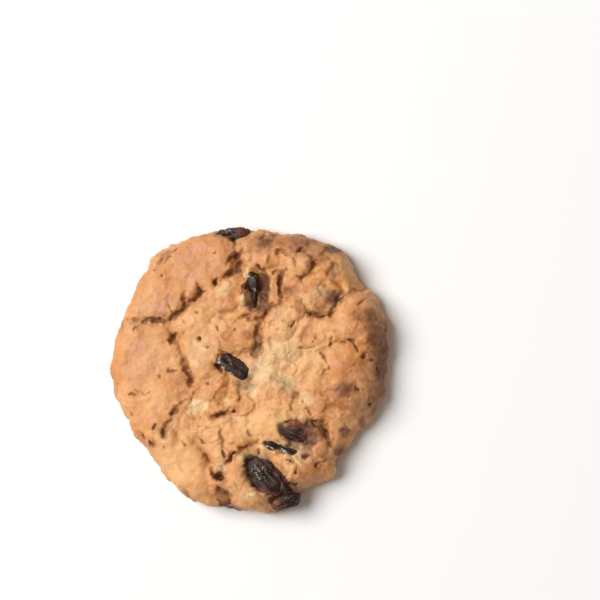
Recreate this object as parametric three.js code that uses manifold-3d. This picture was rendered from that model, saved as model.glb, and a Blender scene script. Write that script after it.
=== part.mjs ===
// An oatmeal raisin cookie lying flat with its top side up: one baked dough body, and the raisins that show in it.
// Millimetres, +Z up. The origin is on the face that the cookie rests on, under the middle of its outline.
import * as THREE from 'three';
import { ImprovedNoise } from 'three/addons/math/ImprovedNoise.js';
import { mergeVertices } from 'three/addons/utils/BufferGeometryUtils.js';
import Module from 'manifold-3d';

// The outline at its widest: the radius every ten degrees, anticlockwise from +X.
const GIRTH_RADII = [
  41.2, 42.6, 43.6, 43.0, 42.6, 44.8, 44.0, 43.4, 42.0,
  42.6, 42.8, 43.8, 44.4, 45.8, 43.8, 42.0, 42.8, 42.5,
  43.2, 42.2, 40.6, 40.4, 39.5, 40.3, 41.8, 42.1, 41.5,
  41.9, 42.5, 41.3, 39.3, 38.2, 37.8, 37.4, 39.4, 41.2,
];
const GIRTH_HEIGHT = 4.2; // the side bulges furthest here
const CROWN_HEIGHT = 11.9; // the floor between the lumps, at the middle
const CROWN_DROP = 0.8; // how much lower that floor is at the rim
const RIM_START = 0.79; // share of the radius where the top starts to round over
const RIM_LEAN = 0.05; // the right rim starts earlier and the left rim later
const RIM_POWER = 2.2;
const FOOT_INSET = 0.05; // share of the radius by which the underside is smaller than the girth

// Shares of the ball's surface that become the top, the side and the underside of the cookie.
const BALL_DETAIL = 22;
const TOP_SHARE = 0.72;
const SIDE_SHARE = 0.16;
const BASE_SHARE = 1 - TOP_SHARE - SIDE_SHARE;

// Broad plates of smooth crust: middle x, y, half length, half width, turn in degrees, height above the floor.
const PLATES = {
  upper: [-16, 31, 15, 10, 38, 1.5],
  upper_left: [-29, 22, 10, 9.5, 50, 1.4],
  left: [-32, 4, 12.5, 11, 0, 1.5],
  left_low: [-29.5, -11, 12, 9, -25, 1.3],
  left_inner: [-21, -4, 6, 6, 0, 1.4],
  lower: [-21, -27.5, 12.5, 8, -48, 1.4],
  bottom: [-11.5, -36, 8.5, 6.5, -20, 1.3],
  right: [31, 1.5, 8, 6.5, -20, 1.4],
  yellow: [-14, 6.5, 5.5, 8.5, 0, 1.4],
  smooth: [5.5, -16.5, 9, 5.5, 0, 1.2],
};

// Rounder lumps of dough and oats, in the same order of values.
const LUMPS = {
  orange: [-11, -4.5, 6, 5, 20, 1.5],
  middle: [-4.5, 9.5, 8.5, 5, 8, 1.5],
  high: [-7, 22, 6.5, 5, 30, 1.5],
  seam: [-15, 15.5, 6, 3.5, 10, 1.2],
  pink: [11.5, 14.5, 6.5, 5, 60, 1.7],
  oval: [19.5, 9, 5, 6, 0, 1.0],
  pale: [11.5, 5, 6, 4.5, 0, 0.9],
  tall: [25.5, 10.5, 3.5, 5, 0, 1.2],
  mid_right: [19.5, -1, 6, 4.5, 0, 1.0],
  brown: [31, -8, 7.5, 5, -20, 1.4],
  low_right: [22.5, -8.5, 4, 4.5, 0, 0.6],
  bulge: [35.5, 14, 8, 7.5, -60, 1.8],
  shoulder: [29.5, 29.5, 5.5, 3.2, -60, 1.6],
  covered_raisin: [23.5, 21, 5, 5, 0, 1.9],
  top_a: [16.5, 31.5, 4.5, 3.5, 40, 1.6],
  top_b: [14, 37.5, 6, 3, 0, 1.2],
  top_c: [5, 37, 4.5, 3, 0, 1.2],
  top_d: [5.5, 32, 4.5, 2.5, 10, 1.2],
  top_e: [22.5, 36.5, 4.5, 3.5, -20, 1.2],
  valley: [5, -10, 6, 2.5, 0, 0.3],
  ridge: [-9, -11.5, 4, 2, 15, 1.1],
  low_a: [-9, -18, 6, 3, 0, 1.0],
  low_b: [-15.5, -16.5, 4.5, 4, 0, 0.9],
  low_c: [-1.5, -20, 4.5, 3, 0, 1.0],
  flake: [-8.5, -25.5, 2.5, 4, 20, 1.2],
  foot_a: [-2, -31, 3.2, 4.5, 0, 1.3],
  foot_b: [1, -38, 6.5, 3.5, -10, 1.2],
  nub: [12, -29.2, 4.6, 3, -42, 1.6],
  heel_a: [19.5, -28, 4.5, 4, 0, 1.2],
  heel_b: [22.5, -31.5, 4.5, 3, 25, 1.2],
  flap: [21.5, -20.5, 3, 5, 15, 1.6],
  heel_c: [28, -22, 3, 4.5, 10, 1.0],
  heel_d: [30, -15.5, 5, 3, 15, 1.2],
};
const PLATE_POWER = 6; // flat on top with steep edges
const LUMP_POWER = 3; // domed
const LUMP_SPREAD = 1.15; // lumps run a little way into each other
const DOME_EDGE = 0.6;
const LUMP_SHARPNESS = 3; // per millimetre: how sharp the crease is where two lumps meet

// Open cracks between the plates: half width, depth, and the points that each one follows.
const CRACKS = {
  seam_upper: [1.2, 2.2, [[-14.2, 26], [-13.5, 22.8], [-17.2, 20], [-19.4, 18], [-22.6, 15.3]]],
  seam_left: [1.0, 1.6, [[-36.2, 15.2], [-29.5, 15], [-25.5, 15.4], [-21.5, 15.8]]],
  pocket: [1.2, 2.0, [[-21.4, 11.2], [-22.8, 7.5]]],
  inner: [1.1, 2.0, [[-20.3, 6.3], [-17.6, 1], [-16.3, -2.4], [-15.2, -7.5]]],
  foot: [1.2, 2.2, [[-18, -8.7], [-20.8, -11.5], [-24.4, -17.5], [-24.6, -20.6]]],
  foot_end: [1.0, 1.6, [[-29.2, -20.8], [-27.8, -23.2]]],
  top_hollow: [1.4, 2.2, [[-1.2, 37.8], [-1, 35.5], [-3.2, 33.4], [-5.8, 31.6]]],
  top_ridge: [1.1, 1.6, [[-6.8, 27], [-3.5, 29], [-1.6, 32]]],
  pit_arc: [1.0, 1.6, [[-1.9, 15.5], [3.2, 14.6], [7.6, 17.7], [11.7, 20]]],
  column: [1.1, 1.8, [[11.4, 20.6], [10.3, 24], [10.6, 27.5]]],
  valley: [1.4, 2.2, [[5, 13.6], [3.2, 9], [4.3, 6], [1.8, 3.5]]],
  lump_edge: [1.0, 1.6, [[19.7, 32.6], [20.6, 30.5], [15.6, 27]]],
  cover: [1.1, 1.8, [[18.8, 16.4], [23.5, 15.2], [27.2, 17.5], [28.8, 22.5]]],
  right: [1.0, 1.4, [[26.2, 6.5], [31.5, 8], [34.5, 5.5], [38, 1.5]]],
  low_arc: [1.1, 2.0, [[20.4, -16], [23.4, -17.5], [25.3, -23]]],
  bottom: [1.3, 2.2, [[-12.8, -23.4], [-9.6, -30], [-6.8, -32.5]]],
  fork: [1.1, 1.8, [[-6.6, -30], [-4.2, -26], [-0.6, -23.5], [3.8, -21.6]]],
  scoop: [1.1, 1.9, [[-10.3, -14.2], [-2.9, -12.4]]],
  below_raisin: [1.1, 1.5, [[-3.6, -3.8], [-2, -9.8]]],
};

// Round holes and the hollow that one raisin lies in: middle x, y, radius, depth.
const PITS = {
  yellow: [-13.9, 8.8, 1.4, 1.3],
  raisin_hollow_a: [3.5, 26, 4.6, 1.8],
  raisin_hollow_b: [4, 20.5, 4.6, 1.8],
  sliver_hollow: [16.5, -24.7, 3, 0.9],
};

// Raisins: middle x, y, z, half length, half width, half thickness, turn in degrees, and tip about their length.
const RAISINS = {
  raisin_pit: [2.0, 22.9, 9.9, 6.0, 1.6, 1.8, 92, 0],
  raisin_centre: [-3.5, 1.1, 10.4, 5.5, 2.3, 2.1, -35, 0],
  raisin_lump: [14.9, -18.5, 9.8, 4.6, 3.2, 2.5, -18, 0],
  raisin_sliver: [10.3, -23.4, 10.7, 5.2, 1.2, 1.2, -16, 0],
  raisin_large: [5.6, -31.3, 9.4, 6.9, 4.2, 2.8, -49, 0],
  raisin_edge: [11.0, -38.4, 6.4, 4.6, 3.0, 2.6, 18, -35],
  raisin_rim: [-4.5, 41.0, 7.4, 4.3, 1.8, 1.7, 0, 40],
  raisin_hem: [-7.0, -37.7, 8.2, 3.4, 2.4, 2.3, 0, -35],
};
const RAISIN_DETAIL = 2;
const RAISIN_WRINKLE = 0.12; // share of the radius
const RAISIN_WRINKLES_ROUND = 2.4;
const POCKET_GAP = 0.35; // between a raisin and the dough that holds it

// Unevenness of the baked surface, as pairs of wavelength and height.
const TOP_ROUGHNESS = [[9, 0.5], [4.5, 0.35]];
const SIDE_ROUGHNESS = [[7, 0.6], [3.5, 0.35]];

const { clamp, degToRad, euclideanModulo, smoothstep } = THREE.MathUtils;
const perlin = new ImprovedNoise();

function roughness(layers, x, y, z) {
  return layers.reduce((sum, [wave, height]) => sum + height * perlin.noise(x / wave, y / wave, z / wave), 0);
}

// The outline's radius at an angle, on a smooth curve through the listed radii.
function girthRadius(angle) {
  const count = GIRTH_RADII.length;
  const place = euclideanModulo(angle / (2 * Math.PI), 1) * count;
  const first = Math.floor(place);
  const t = place - first;
  const [a, b, c, d] = [-1, 0, 1, 2].map((step) => GIRTH_RADII[(first + step + count) % count]);
  return b + 0.5 * t * (c - a + t * (2 * a - 5 * b + 4 * c - d + t * (3 * (b - c) + d - a)));
}

function domeHeight([middleX, middleY, halfLength, halfWidth, turn, height], power, x, y) {
  const angle = degToRad(turn);
  const along = (x - middleX) * Math.cos(angle) + (y - middleY) * Math.sin(angle);
  const across = (y - middleY) * Math.cos(angle) - (x - middleX) * Math.sin(angle);
  const reach = Math.hypot(along / halfLength, across / halfWidth);
  return reach < 1 ? height * (1 - reach ** power) ** DOME_EDGE : 0;
}

// The lumps merge by a smooth maximum, which leaves a crease where two of them meet.
function lumpHeight(x, y) {
  const plates = Object.values(PLATES).map((plate) => domeHeight(plate, PLATE_POWER, x, y));
  const lumps = Object.values(LUMPS).map(([middleX, middleY, halfLength, halfWidth, turn, height]) => {
    const spread = [middleX, middleY, LUMP_SPREAD * halfLength, LUMP_SPREAD * halfWidth, turn, height];
    return domeHeight(spread, LUMP_POWER, x, y);
  });
  const raised = [...plates, ...lumps].filter((height) => height > 0);
  const sum = raised.reduce((total, height) => total + Math.expm1(LUMP_SHARPNESS * height), 0);
  return Math.log1p(sum) / LUMP_SHARPNESS;
}

function distanceToSegment(x, y, [ax, ay], [bx, by]) {
  const [dx, dy] = [bx - ax, by - ay];
  const t = clamp(((x - ax) * dx + (y - ay) * dy) / (dx * dx + dy * dy), 0, 1);
  return Math.hypot(x - ax - t * dx, y - ay - t * dy);
}

function crackDepth(x, y) {
  const depths = Object.values(CRACKS).map(([halfWidth, depth, points]) => {
    const distances = points.slice(1).map((end, i) => distanceToSegment(x, y, points[i], end));
    return depth * Math.exp(-((Math.min(...distances) / halfWidth) ** 2));
  });
  return Math.max(...depths);
}

function pitDepth(x, y) {
  const depths = Object.values(PITS).map(([pitX, pitY, radius, depth]) => {
    const reach = Math.hypot(x - pitX, y - pitY) / radius;
    return depth * (1 - smoothstep(reach, 0.3, 1));
  });
  return Math.max(...depths);
}

// The top of the dough, which rounds over from the rim's start down to the girth.
function topPoint(angle, reach) {
  const radius = reach * girthRadius(angle);
  const [x, y] = [radius * Math.cos(angle), radius * Math.sin(angle)];
  const rimStart = RIM_START - RIM_LEAN * Math.cos(angle);
  const over = clamp((reach - rimStart) / (1 - rimStart), 0, 1);
  const rounding = (1 - over ** RIM_POWER) ** (1 / RIM_POWER);
  const floor = CROWN_HEIGHT - CROWN_DROP * reach * reach;
  const relief = lumpHeight(x, y) - crackDepth(x, y) - pitDepth(x, y) + roughness(TOP_ROUGHNESS, x, y, 0);
  return new THREE.Vector3(x, y, GIRTH_HEIGHT + (floor + relief - GIRTH_HEIGHT) * rounding);
}

// The side tucks in under the girth, down to the edge of the underside.
function sidePoint(angle, drop) {
  const turn = (drop * Math.PI) / 2;
  const reach = 1 - FOOT_INSET * (1 - Math.cos(turn));
  const z = GIRTH_HEIGHT * (1 - Math.sin(turn));
  const [x, y] = [Math.cos(angle), Math.sin(angle)].map((part) => part * reach * girthRadius(angle));
  const swell = 1 + (Math.sin(2 * turn) * roughness(SIDE_ROUGHNESS, x, y, z)) / girthRadius(angle);
  return new THREE.Vector3(x * swell, y * swell, z);
}

function basePoint(angle, reach) {
  const radius = reach * (1 - FOOT_INSET) * girthRadius(angle);
  return new THREE.Vector3(radius * Math.cos(angle), radius * Math.sin(angle), 0);
}

// A point of the unit ball, moved to where it lies on the dough. Equal areas of the ball stay equal on the top.
function pressedPoint(onBall) {
  const angle = Math.atan2(onBall.y, onBall.x);
  const share = (1 - onBall.z) / 2;
  if (share < TOP_SHARE) return topPoint(angle, Math.sqrt(share / TOP_SHARE));
  const past = share - TOP_SHARE;
  if (past < SIDE_SHARE) return sidePoint(angle, past / SIDE_SHARE);
  return basePoint(angle, Math.sqrt((1 - share) / BASE_SHARE));
}

// An even ball of triangles with each point moved by a function.
function shapedBall(detail, move) {
  const ball = new THREE.IcosahedronGeometry(1, detail);
  ball.deleteAttribute('normal');
  ball.deleteAttribute('uv');
  const shape = mergeVertices(ball, 1e-4);
  const places = shape.getAttribute('position');
  for (let i = 0; i < places.count; i++) {
    const moved = move(new THREE.Vector3().fromBufferAttribute(places, i).normalize());
    places.setXYZ(i, moved.x, moved.y, moved.z);
  }
  shape.computeVertexNormals();
  return shape;
}

// A raisin is a flattened ball with soft wrinkles. Each seed gives other wrinkles.
function raisinShape(halfSizes, seed) {
  const wave = RAISIN_WRINKLES_ROUND;
  return shapedBall(RAISIN_DETAIL, (point) => {
    const wrinkle = perlin.noise(point.x * wave + seed, point.y * wave, point.z * wave);
    return point.multiplyScalar(1 + RAISIN_WRINKLE * wrinkle).multiply(halfSizes);
  });
}

// The space that the dough leaves round a raisin: its own shape, grown along its normals.
function pocketShape(raisin) {
  const pocket = raisin.geometry.clone();
  const [places, normals] = [pocket.getAttribute('position'), pocket.getAttribute('normal')];
  for (let i = 0; i < places.count; i++) {
    const normal = new THREE.Vector3().fromBufferAttribute(normals, i);
    const grown = new THREE.Vector3().fromBufferAttribute(places, i).addScaledVector(normal, POCKET_GAP);
    places.setXYZ(i, grown.x, grown.y, grown.z);
  }
  raisin.updateMatrix();
  return pocket.applyMatrix4(raisin.matrix);
}

const wasm = await Module();
wasm.setup();

function solidFrom(geometry) {
  return new wasm.Manifold(new wasm.Mesh({
    numProp: 3,
    vertProperties: new Float32Array(geometry.getAttribute('position').array),
    triVerts: new Uint32Array(geometry.index.array),
  }));
}

function geometryFrom(solid) {
  const mesh = solid.getMesh();
  const geometry = new THREE.BufferGeometry();
  geometry.setAttribute('position', new THREE.BufferAttribute(new Float32Array(mesh.vertProperties), 3));
  geometry.setIndex(new THREE.BufferAttribute(new Uint32Array(mesh.triVerts), 1));
  geometry.computeVertexNormals();
  return geometry;
}

const doughMaterial = new THREE.MeshStandardMaterial({ color: 0xdca268, roughness: 0.85, metalness: 0 });
const raisinMaterial = new THREE.MeshStandardMaterial({ color: 0x2c1f22, roughness: 0.4, metalness: 0 });

function makeRaisin([name, [x, y, z, halfLength, halfWidth, halfThickness, turn, tip]], seed) {
  const shape = raisinShape(new THREE.Vector3(halfLength, halfWidth, halfThickness), seed);
  const raisin = new THREE.Mesh(shape, raisinMaterial);
  raisin.name = name;
  raisin.position.set(x, y, z);
  raisin.rotation.set(degToRad(tip), 0, degToRad(turn), 'ZYX');
  return raisin;
}

// The dough with a pocket for each raisin. A crumb that a pocket cuts loose is dropped.
function makeDough(raisins) {
  const whole = solidFrom(shapedBall(BALL_DETAIL, pressedPoint));
  const pockets = raisins.map((raisin) => solidFrom(pocketShape(raisin)));
  const pieces = pockets.reduce((solid, pocket) => solid.subtract(pocket), whole).decompose();
  pieces.sort((one, other) => other.volume() - one.volume());
  const dough = new THREE.Mesh(geometryFrom(pieces[0]), doughMaterial);
  dough.name = 'dough';
  return dough;
}

const raisins = Object.entries(RAISINS).map(makeRaisin);
const pieces = new THREE.Group();
pieces.add(makeDough(raisins), ...raisins);

// The outline isn't even, so the cookie is moved to put the middle of its box over the origin.
const middle = new THREE.Box3().setFromObject(pieces, true).getCenter(new THREE.Vector3());
pieces.position.set(-middle.x, -middle.y, 0);

const cookie = new THREE.Group();
cookie.add(pieces);

export default cookie;
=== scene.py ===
# %% [markdown]
# # An oatmeal raisin cookie
# This lesson bakes one cookie in Blender: a round of oat dough with a cracked, lumpy crust, and the
# raisins that show in it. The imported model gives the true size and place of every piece. Each step adds a
# finished piece over that model, so the cookie stays as wide and as thick as the solids say.

# %% Load the frame
import math

import bpy
import numpy as np
from mathutils import Matrix, Vector, kdtree, noise


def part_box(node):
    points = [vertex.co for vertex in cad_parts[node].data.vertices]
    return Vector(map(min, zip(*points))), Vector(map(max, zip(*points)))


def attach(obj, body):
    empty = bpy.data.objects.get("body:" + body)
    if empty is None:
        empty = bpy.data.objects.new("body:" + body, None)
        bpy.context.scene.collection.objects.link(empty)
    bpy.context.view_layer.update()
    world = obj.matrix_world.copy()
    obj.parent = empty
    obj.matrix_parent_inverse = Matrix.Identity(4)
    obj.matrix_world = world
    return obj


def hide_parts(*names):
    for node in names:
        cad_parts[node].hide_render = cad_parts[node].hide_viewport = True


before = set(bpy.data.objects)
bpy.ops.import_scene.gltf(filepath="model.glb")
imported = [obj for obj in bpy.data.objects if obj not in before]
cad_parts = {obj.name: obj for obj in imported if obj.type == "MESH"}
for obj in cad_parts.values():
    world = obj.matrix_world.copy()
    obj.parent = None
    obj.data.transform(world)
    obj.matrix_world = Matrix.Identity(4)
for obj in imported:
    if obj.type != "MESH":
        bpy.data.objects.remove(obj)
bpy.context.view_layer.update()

MM = 0.001
print("nodes:", sorted(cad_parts))

# %% [markdown]
# ## The camera
# The camera looks down on the cookie's top, a little from its right. The cookie sits left of and below
# the middle of the picture, so the camera is turned until the middle of the cookie falls on that pixel. A
# long lens from over half a metre keeps the round outline free of distortion.

# %% Camera
IMAGE_PIXELS = 600
COOKIE_PIXEL = (248.4, 369.3)
PIXEL_SIZE = 0.3 * MM
CAMERA_DISTANCE = 0.6
VIEW_FROM_RIGHT = math.radians(13)
VIEW_FROM_BELOW = math.radians(3)
SENSOR_MM = 36.0
NEAREST_SEEN = 0.01
GIRTH_HEIGHT = 4.2 * MM

view_from = Vector((math.tan(VIEW_FROM_RIGHT), -math.tan(VIEW_FROM_BELOW), 1)).normalized()
picture_up = (Vector((0, 1, 0)) - view_from.y * view_from).normalized()
picture_right = picture_up.cross(view_from)

right_of_middle = (COOKIE_PIXEL[0] - IMAGE_PIXELS / 2) * PIXEL_SIZE
above_middle = (IMAGE_PIXELS / 2 - COOKIE_PIXEL[1]) * PIXEL_SIZE
cookie_ray = Vector((right_of_middle, above_middle, -CAMERA_DISTANCE))
aim = cookie_ray.rotation_difference(Vector((0, 0, -1))).to_matrix()
upright = Matrix((picture_right, picture_up, view_from)).transposed()

lens = bpy.data.cameras.new("camera")
lens.sensor_width = SENSOR_MM
lens.lens = SENSOR_MM * CAMERA_DISTANCE / (IMAGE_PIXELS * PIXEL_SIZE)
lens.clip_start = NEAREST_SEEN
camera = bpy.data.objects.new("camera", lens)
place = Vector((0, 0, GIRTH_HEIGHT)) + view_from * cookie_ray.length
camera.matrix_world = Matrix.Translation(place) @ (upright @ aim).to_4x4()
bpy.context.scene.collection.objects.link(camera)
bpy.context.scene.camera = camera
print(f"camera: {lens.lens:.0f} mm lens, {cookie_ray.length:.2f} m from the cookie")

# %% [markdown]
# ## The light
# A broad lamp stands on the left and a little beyond the cookie, so the lumps shade towards the right and
# the right rim falls dark. An even warm sky fills the cracks. A small lamp would throw hard shadows, and
# a sky alone would leave the lumps flat. The floor is a plain pale sheet, a little blue, so that it looks
# white in this light.

# %% Light and floor
KEY_SIDE = math.radians(160)
KEY_HEIGHT = math.radians(57)
KEY_DISTANCE = 1.8
KEY_SIZE = 1.4
KEY_POWER = 40.5
KEY_COLOUR = (0.985, 0.955, 0.88)
SKY_STRENGTH = 0.28
SKY_COLOUR = (1.0, 0.86, 0.67, 1)
FLOOR_SIZE = 3.0
FLOOR_COLOUR = (0.86, 0.9, 0.99, 1)
FLOOR_ROUGHNESS = 0.9

lamp = bpy.data.lights.new("key", "AREA")
lamp.shape = "DISK"
lamp.size = KEY_SIZE
lamp.energy = KEY_POWER
lamp.color = KEY_COLOUR
key = bpy.data.objects.new("key", lamp)
flat = math.cos(KEY_HEIGHT)
key_from = Vector((flat * math.cos(KEY_SIDE), flat * math.sin(KEY_SIDE), math.sin(KEY_HEIGHT)))
key.location = KEY_DISTANCE * key_from
key.rotation_euler = (-key.location).to_track_quat("-Z", "Y").to_euler()
bpy.context.scene.collection.objects.link(key)

sky = bpy.data.worlds.new("sky")
sky.use_nodes = True
sky.node_tree.nodes["Background"].inputs["Color"].default_value = SKY_COLOUR
sky.node_tree.nodes["Background"].inputs["Strength"].default_value = SKY_STRENGTH
bpy.context.scene.world = sky
bpy.context.scene.view_settings.view_transform = "Standard"

bpy.ops.object.select_all(action="DESELECT")
bpy.ops.mesh.primitive_plane_add(size=FLOOR_SIZE)
floor = bpy.context.object
floor.name = "floor"
floor_paint = bpy.data.materials.new("floor")
floor_paint.use_nodes = True
floor_shader = floor_paint.node_tree.nodes["Principled BSDF"]
floor_shader.inputs["Base Color"].default_value = FLOOR_COLOUR
floor_shader.inputs["Roughness"].default_value = FLOOR_ROUGHNESS
floor.data.materials.append(floor_paint)
print("light: a lamp", KEY_SIZE, "m across from the left, an even sky and a pale floor")

# %% [markdown]
# ## The round of dough
# A drop cookie spreads in the oven to a wavy round: flat underneath, widest a few millimetres up, and
# rounded over at the rim. It could be lathed, but its outline isn't a circle. So a circle is pulled to
# the outline, and then raised ring by ring, each ring extruded up and scaled, as a potter draws up a
# wall.

# %% Outline
# The radius at the girth every ten degrees, anticlockwise from the right, in millimetres.
GIRTH_RADII = (
    41.2, 42.6, 43.6, 43.0, 42.6, 44.8, 44.0, 43.4, 42.0,
    42.6, 42.8, 43.8, 44.4, 45.8, 43.8, 42.0, 42.8, 42.5,
    43.2, 42.2, 40.6, 40.4, 39.5, 40.3, 41.8, 42.1, 41.5,
    41.9, 42.5, 41.3, 39.3, 38.2, 37.8, 37.4, 39.4, 41.2,
)
OUTLINE_STEPS = 360


def girth_radius(angle):
    """The outline's radius at one or many angles, on a smooth curve through the listed radii."""
    radii = np.array(GIRTH_RADII) * MM
    place = np.mod(angle / (2 * np.pi), 1) * len(radii)
    first = np.floor(place).astype(int)
    t = place - first
    a, b, c, d = (radii[(first + step) % len(radii)] for step in (-1, 0, 1, 2))
    return b + 0.5 * t * (c - a + t * (2 * a - 5 * b + 4 * c - d + t * (3 * (b - c) + d - a)))


turns = np.linspace(0, 2 * np.pi, OUTLINE_STEPS, endpoint=False)
outline = np.stack([np.cos(turns), np.sin(turns)], axis=1) * girth_radius(turns)[:, None]
dough_low, dough_high = (np.array(corner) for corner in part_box("dough"))
PLAN_MIDDLE = (dough_low + dough_high)[:2] / 2 - (outline.min(0) + outline.max(0)) / 2
print("outline:", np.round(np.ptp(outline, axis=0) / MM, 1), "mm")
print("middle at", np.round(PLAN_MIDDLE / MM, 2), "mm")

# %% Round
FOOT_SHARE = 0.95
CROWN_HEIGHT = 11.9 * MM
CROWN_DROP = 0.8 * MM
RIM_SHARE = 0.79
RIM_LEAN = 2.1 * MM
RIM_POWER = 2.2
FOOT_RINGS = 4
RIM_RINGS = 8


def ring_profile():
    """The share of the girth, the height and the lean to the left of each ring, from the foot up."""
    for turn in np.linspace(0, np.pi / 2, FOOT_RINGS + 1)[::-1]:
        yield 1 - (1 - FOOT_SHARE) * (1 - np.cos(turn)), GIRTH_HEIGHT * (1 - np.sin(turn)), 0.0
    for over in np.linspace(0, 1, RIM_RINGS + 1)[1:]:
        reach = (1 - (1 - over) ** RIM_POWER) ** (1 / RIM_POWER)
        inward = 1 - (1 - reach ** RIM_POWER) ** (1 / RIM_POWER)
        height = GIRTH_HEIGHT + (CROWN_HEIGHT - GIRTH_HEIGHT) * reach
        yield 1 - (1 - RIM_SHARE) * inward, height, RIM_LEAN * inward


def make_round():
    """The bare round of dough, before any relief."""
    bpy.ops.object.select_all(action="DESELECT")
    bpy.ops.mesh.primitive_circle_add(vertices=OUTLINE_STEPS, radius=1, fill_type="NGON")
    round_piece = bpy.context.object
    for point in round_piece.data.vertices:
        angle = math.atan2(point.co.y, point.co.x)
        point.co.xy = point.co.xy.normalized() * float(girth_radius(angle))
    share, height, lean = 1.0, 0.0, 0.0
    bpy.ops.object.mode_set(mode="EDIT")
    bpy.ops.mesh.select_all(action="SELECT")
    for step, (new_share, new_height, new_lean) in enumerate(ring_profile()):
        if step:
            bpy.ops.mesh.extrude_region_move()
        scale = float(new_share / share)
        bpy.ops.transform.translate(value=(float(lean), 0, 0))
        bpy.ops.transform.resize(value=(scale, scale, 1), center_override=(0, 0, 0))
        bpy.ops.transform.translate(value=(-float(new_lean), 0, float(new_height - height)))
        share, height, lean = new_share, new_height, new_lean
    bpy.ops.mesh.select_all(action="SELECT")
    bpy.ops.mesh.normals_make_consistent(inside=False)
    bpy.ops.transform.translate(value=(*PLAN_MIDDLE, 0))
    bpy.ops.object.mode_set(mode="OBJECT")
    return round_piece


dough = make_round()
dough.name = "dough_baked"
print("round:", [round(side / MM, 1) for side in dough.dimensions], "mm")

# %% [markdown]
# ## The lumps
# The top isn't a plain dome. Where the dough was wet it set in broad smooth plates of crust, and where
# oats lie close under the surface it set in round knobs. Where two of them meet there is a fine crease.
# Sculpting them by brush can't be repeated, so each lump is written down as it was read: where it
# is, its half length and half width, how far it is turned and how high it stands. Noise pushes the lumps
# about, because no real lump has an oval edge. Weights on the mesh will say how far a Displace modifier
# lifts each point.

# %% Lumps
# Middle x and y, half length, half width and height in millimetres, with the turn in degrees fifth.
PLATES = {
    "upper": (-16, 31, 15, 10, 38, 1.5),
    "upper_left": (-29, 22, 10, 9.5, 50, 1.4),
    "left": (-32, 4, 12.5, 11, 0, 1.5),
    "left_low": (-29.5, -11, 12, 9, -25, 1.3),
    "left_inner": (-21, -4, 6, 6, 0, 1.4),
    "lower": (-21, -27.5, 12.5, 8, -48, 1.4),
    "bottom": (-11.5, -36, 8.5, 6.5, -20, 1.3),
    "right": (31, 1.5, 8, 6.5, -20, 1.4),
    "yellow": (-14, 6.5, 5.5, 8.5, 0, 1.4),
    "smooth": (5.5, -16.5, 9, 5.5, 0, 1.2),
}
LUMPS = {
    "orange": (-11, -4.5, 6, 5, 20, 1.5),
    "middle": (-4.5, 9.5, 8.5, 5, 8, 1.5),
    "high": (-7, 22, 6.5, 5, 30, 1.5),
    "seam": (-15, 15.5, 6, 3.5, 10, 1.2),
    "pink": (11.5, 14.5, 6.5, 5, 60, 1.7),
    "oval": (19.5, 9, 5, 6, 0, 1.0),
    "pale": (11.5, 5, 6, 4.5, 0, 0.9),
    "tall": (25.5, 10.5, 3.5, 5, 0, 1.2),
    "mid_right": (19.5, -1, 6, 4.5, 0, 1.0),
    "brown": (31, -8, 7.5, 5, -20, 1.4),
    "low_right": (22.5, -8.5, 4, 4.5, 0, 0.6),
    "bulge": (35.5, 14, 8, 7.5, -60, 2.3),
    "shoulder": (29.5, 29.5, 5.5, 3.2, -60, 1.6),
    "covered_raisin": (23.5, 21, 5, 5, 0, 1.9),
    "top_a": (16.5, 31.5, 4.5, 3.5, 40, 1.6),
    "top_b": (14, 37.5, 6, 3, 0, 1.2),
    "top_c": (5, 37, 4.5, 3, 0, 1.2),
    "top_d": (5.5, 32, 4.5, 2.5, 10, 1.2),
    "top_e": (22.5, 36.5, 4.5, 3.5, -20, 1.2),
    "valley": (5, -10, 6, 2.5, 0, 0.3),
    "ridge": (-9, -11.5, 4, 2, 15, 1.1),
    "low_a": (-9, -18, 6, 3, 0, 1.0),
    "low_b": (-15.5, -16.5, 4.5, 4, 0, 0.9),
    "low_c": (-1.5, -20, 4.5, 3, 0, 1.0),
    "flake": (-8.5, -25.5, 2.5, 4, 20, 1.2),
    "foot_a": (-2, -31, 3.2, 4.5, 0, 1.3),
    "foot_b": (1, -38, 6.5, 3.5, -10, 1.2),
    "nub": (12, -29.2, 4.6, 3, -42, 1.6),
    "heel_a": (19.5, -28, 4.5, 4, 0, 1.2),
    "heel_b": (22.5, -31.5, 4.5, 3, 25, 1.2),
    "flap": (21.5, -20.5, 3, 5, 15, 1.6),
    "heel_c": (28, -22, 3, 4.5, 10, 1.0),
    "heel_d": (30, -15.5, 5, 3, 15, 1.2),
    "pit_side": (0, 21.4, 1.6, 2.2, 0, 1.7),
    "sliver_a": (8.8, -24.9, 1.3, 0.9, -16, 1.5),
    "sliver_b": (12.4, -22.9, 1.4, 0.9, -16, 1.6),
    "sliver_c": (15.4, -26.2, 1.2, 0.8, 0, 1.3),
}
PLATE_POWER = 6
LUMP_POWER = 3
DOME_EDGE = 0.6
MERGE = 5 / MM
CREASE_WIDTH = 0.35 * MM
CREASE_HEIGHTS = (0.2 * MM, 0.6 * MM)
CREASE_DEPTH = 0.14 * MM
CREASE_WAVE = 4.5 * MM
CREASE_FADE = (-0.05, 0.35)
CREASE_SEED = 33.5
LUMP_SPREAD = 1.15
SWELLS = ((15 * MM, 0.9 * MM), (7 * MM, 0.6 * MM), (3.5 * MM, 0.4 * MM))
WANDERS = ((7 * MM, 1.9 * MM), (2.2 * MM, 0.7 * MM))
WANDER_SEEDS = (3.3, 8.6)
RAGGEDNESS = ((2.4 * MM, 0.7 * MM), (1.0 * MM, 0.4 * MM))


def smooth_step(low, high, value):
    """0 below low, 1 above high, and an even rise between."""
    share = np.clip((value - low) / (high - low), 0, 1)
    return share * share * (3 - 2 * share)


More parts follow.
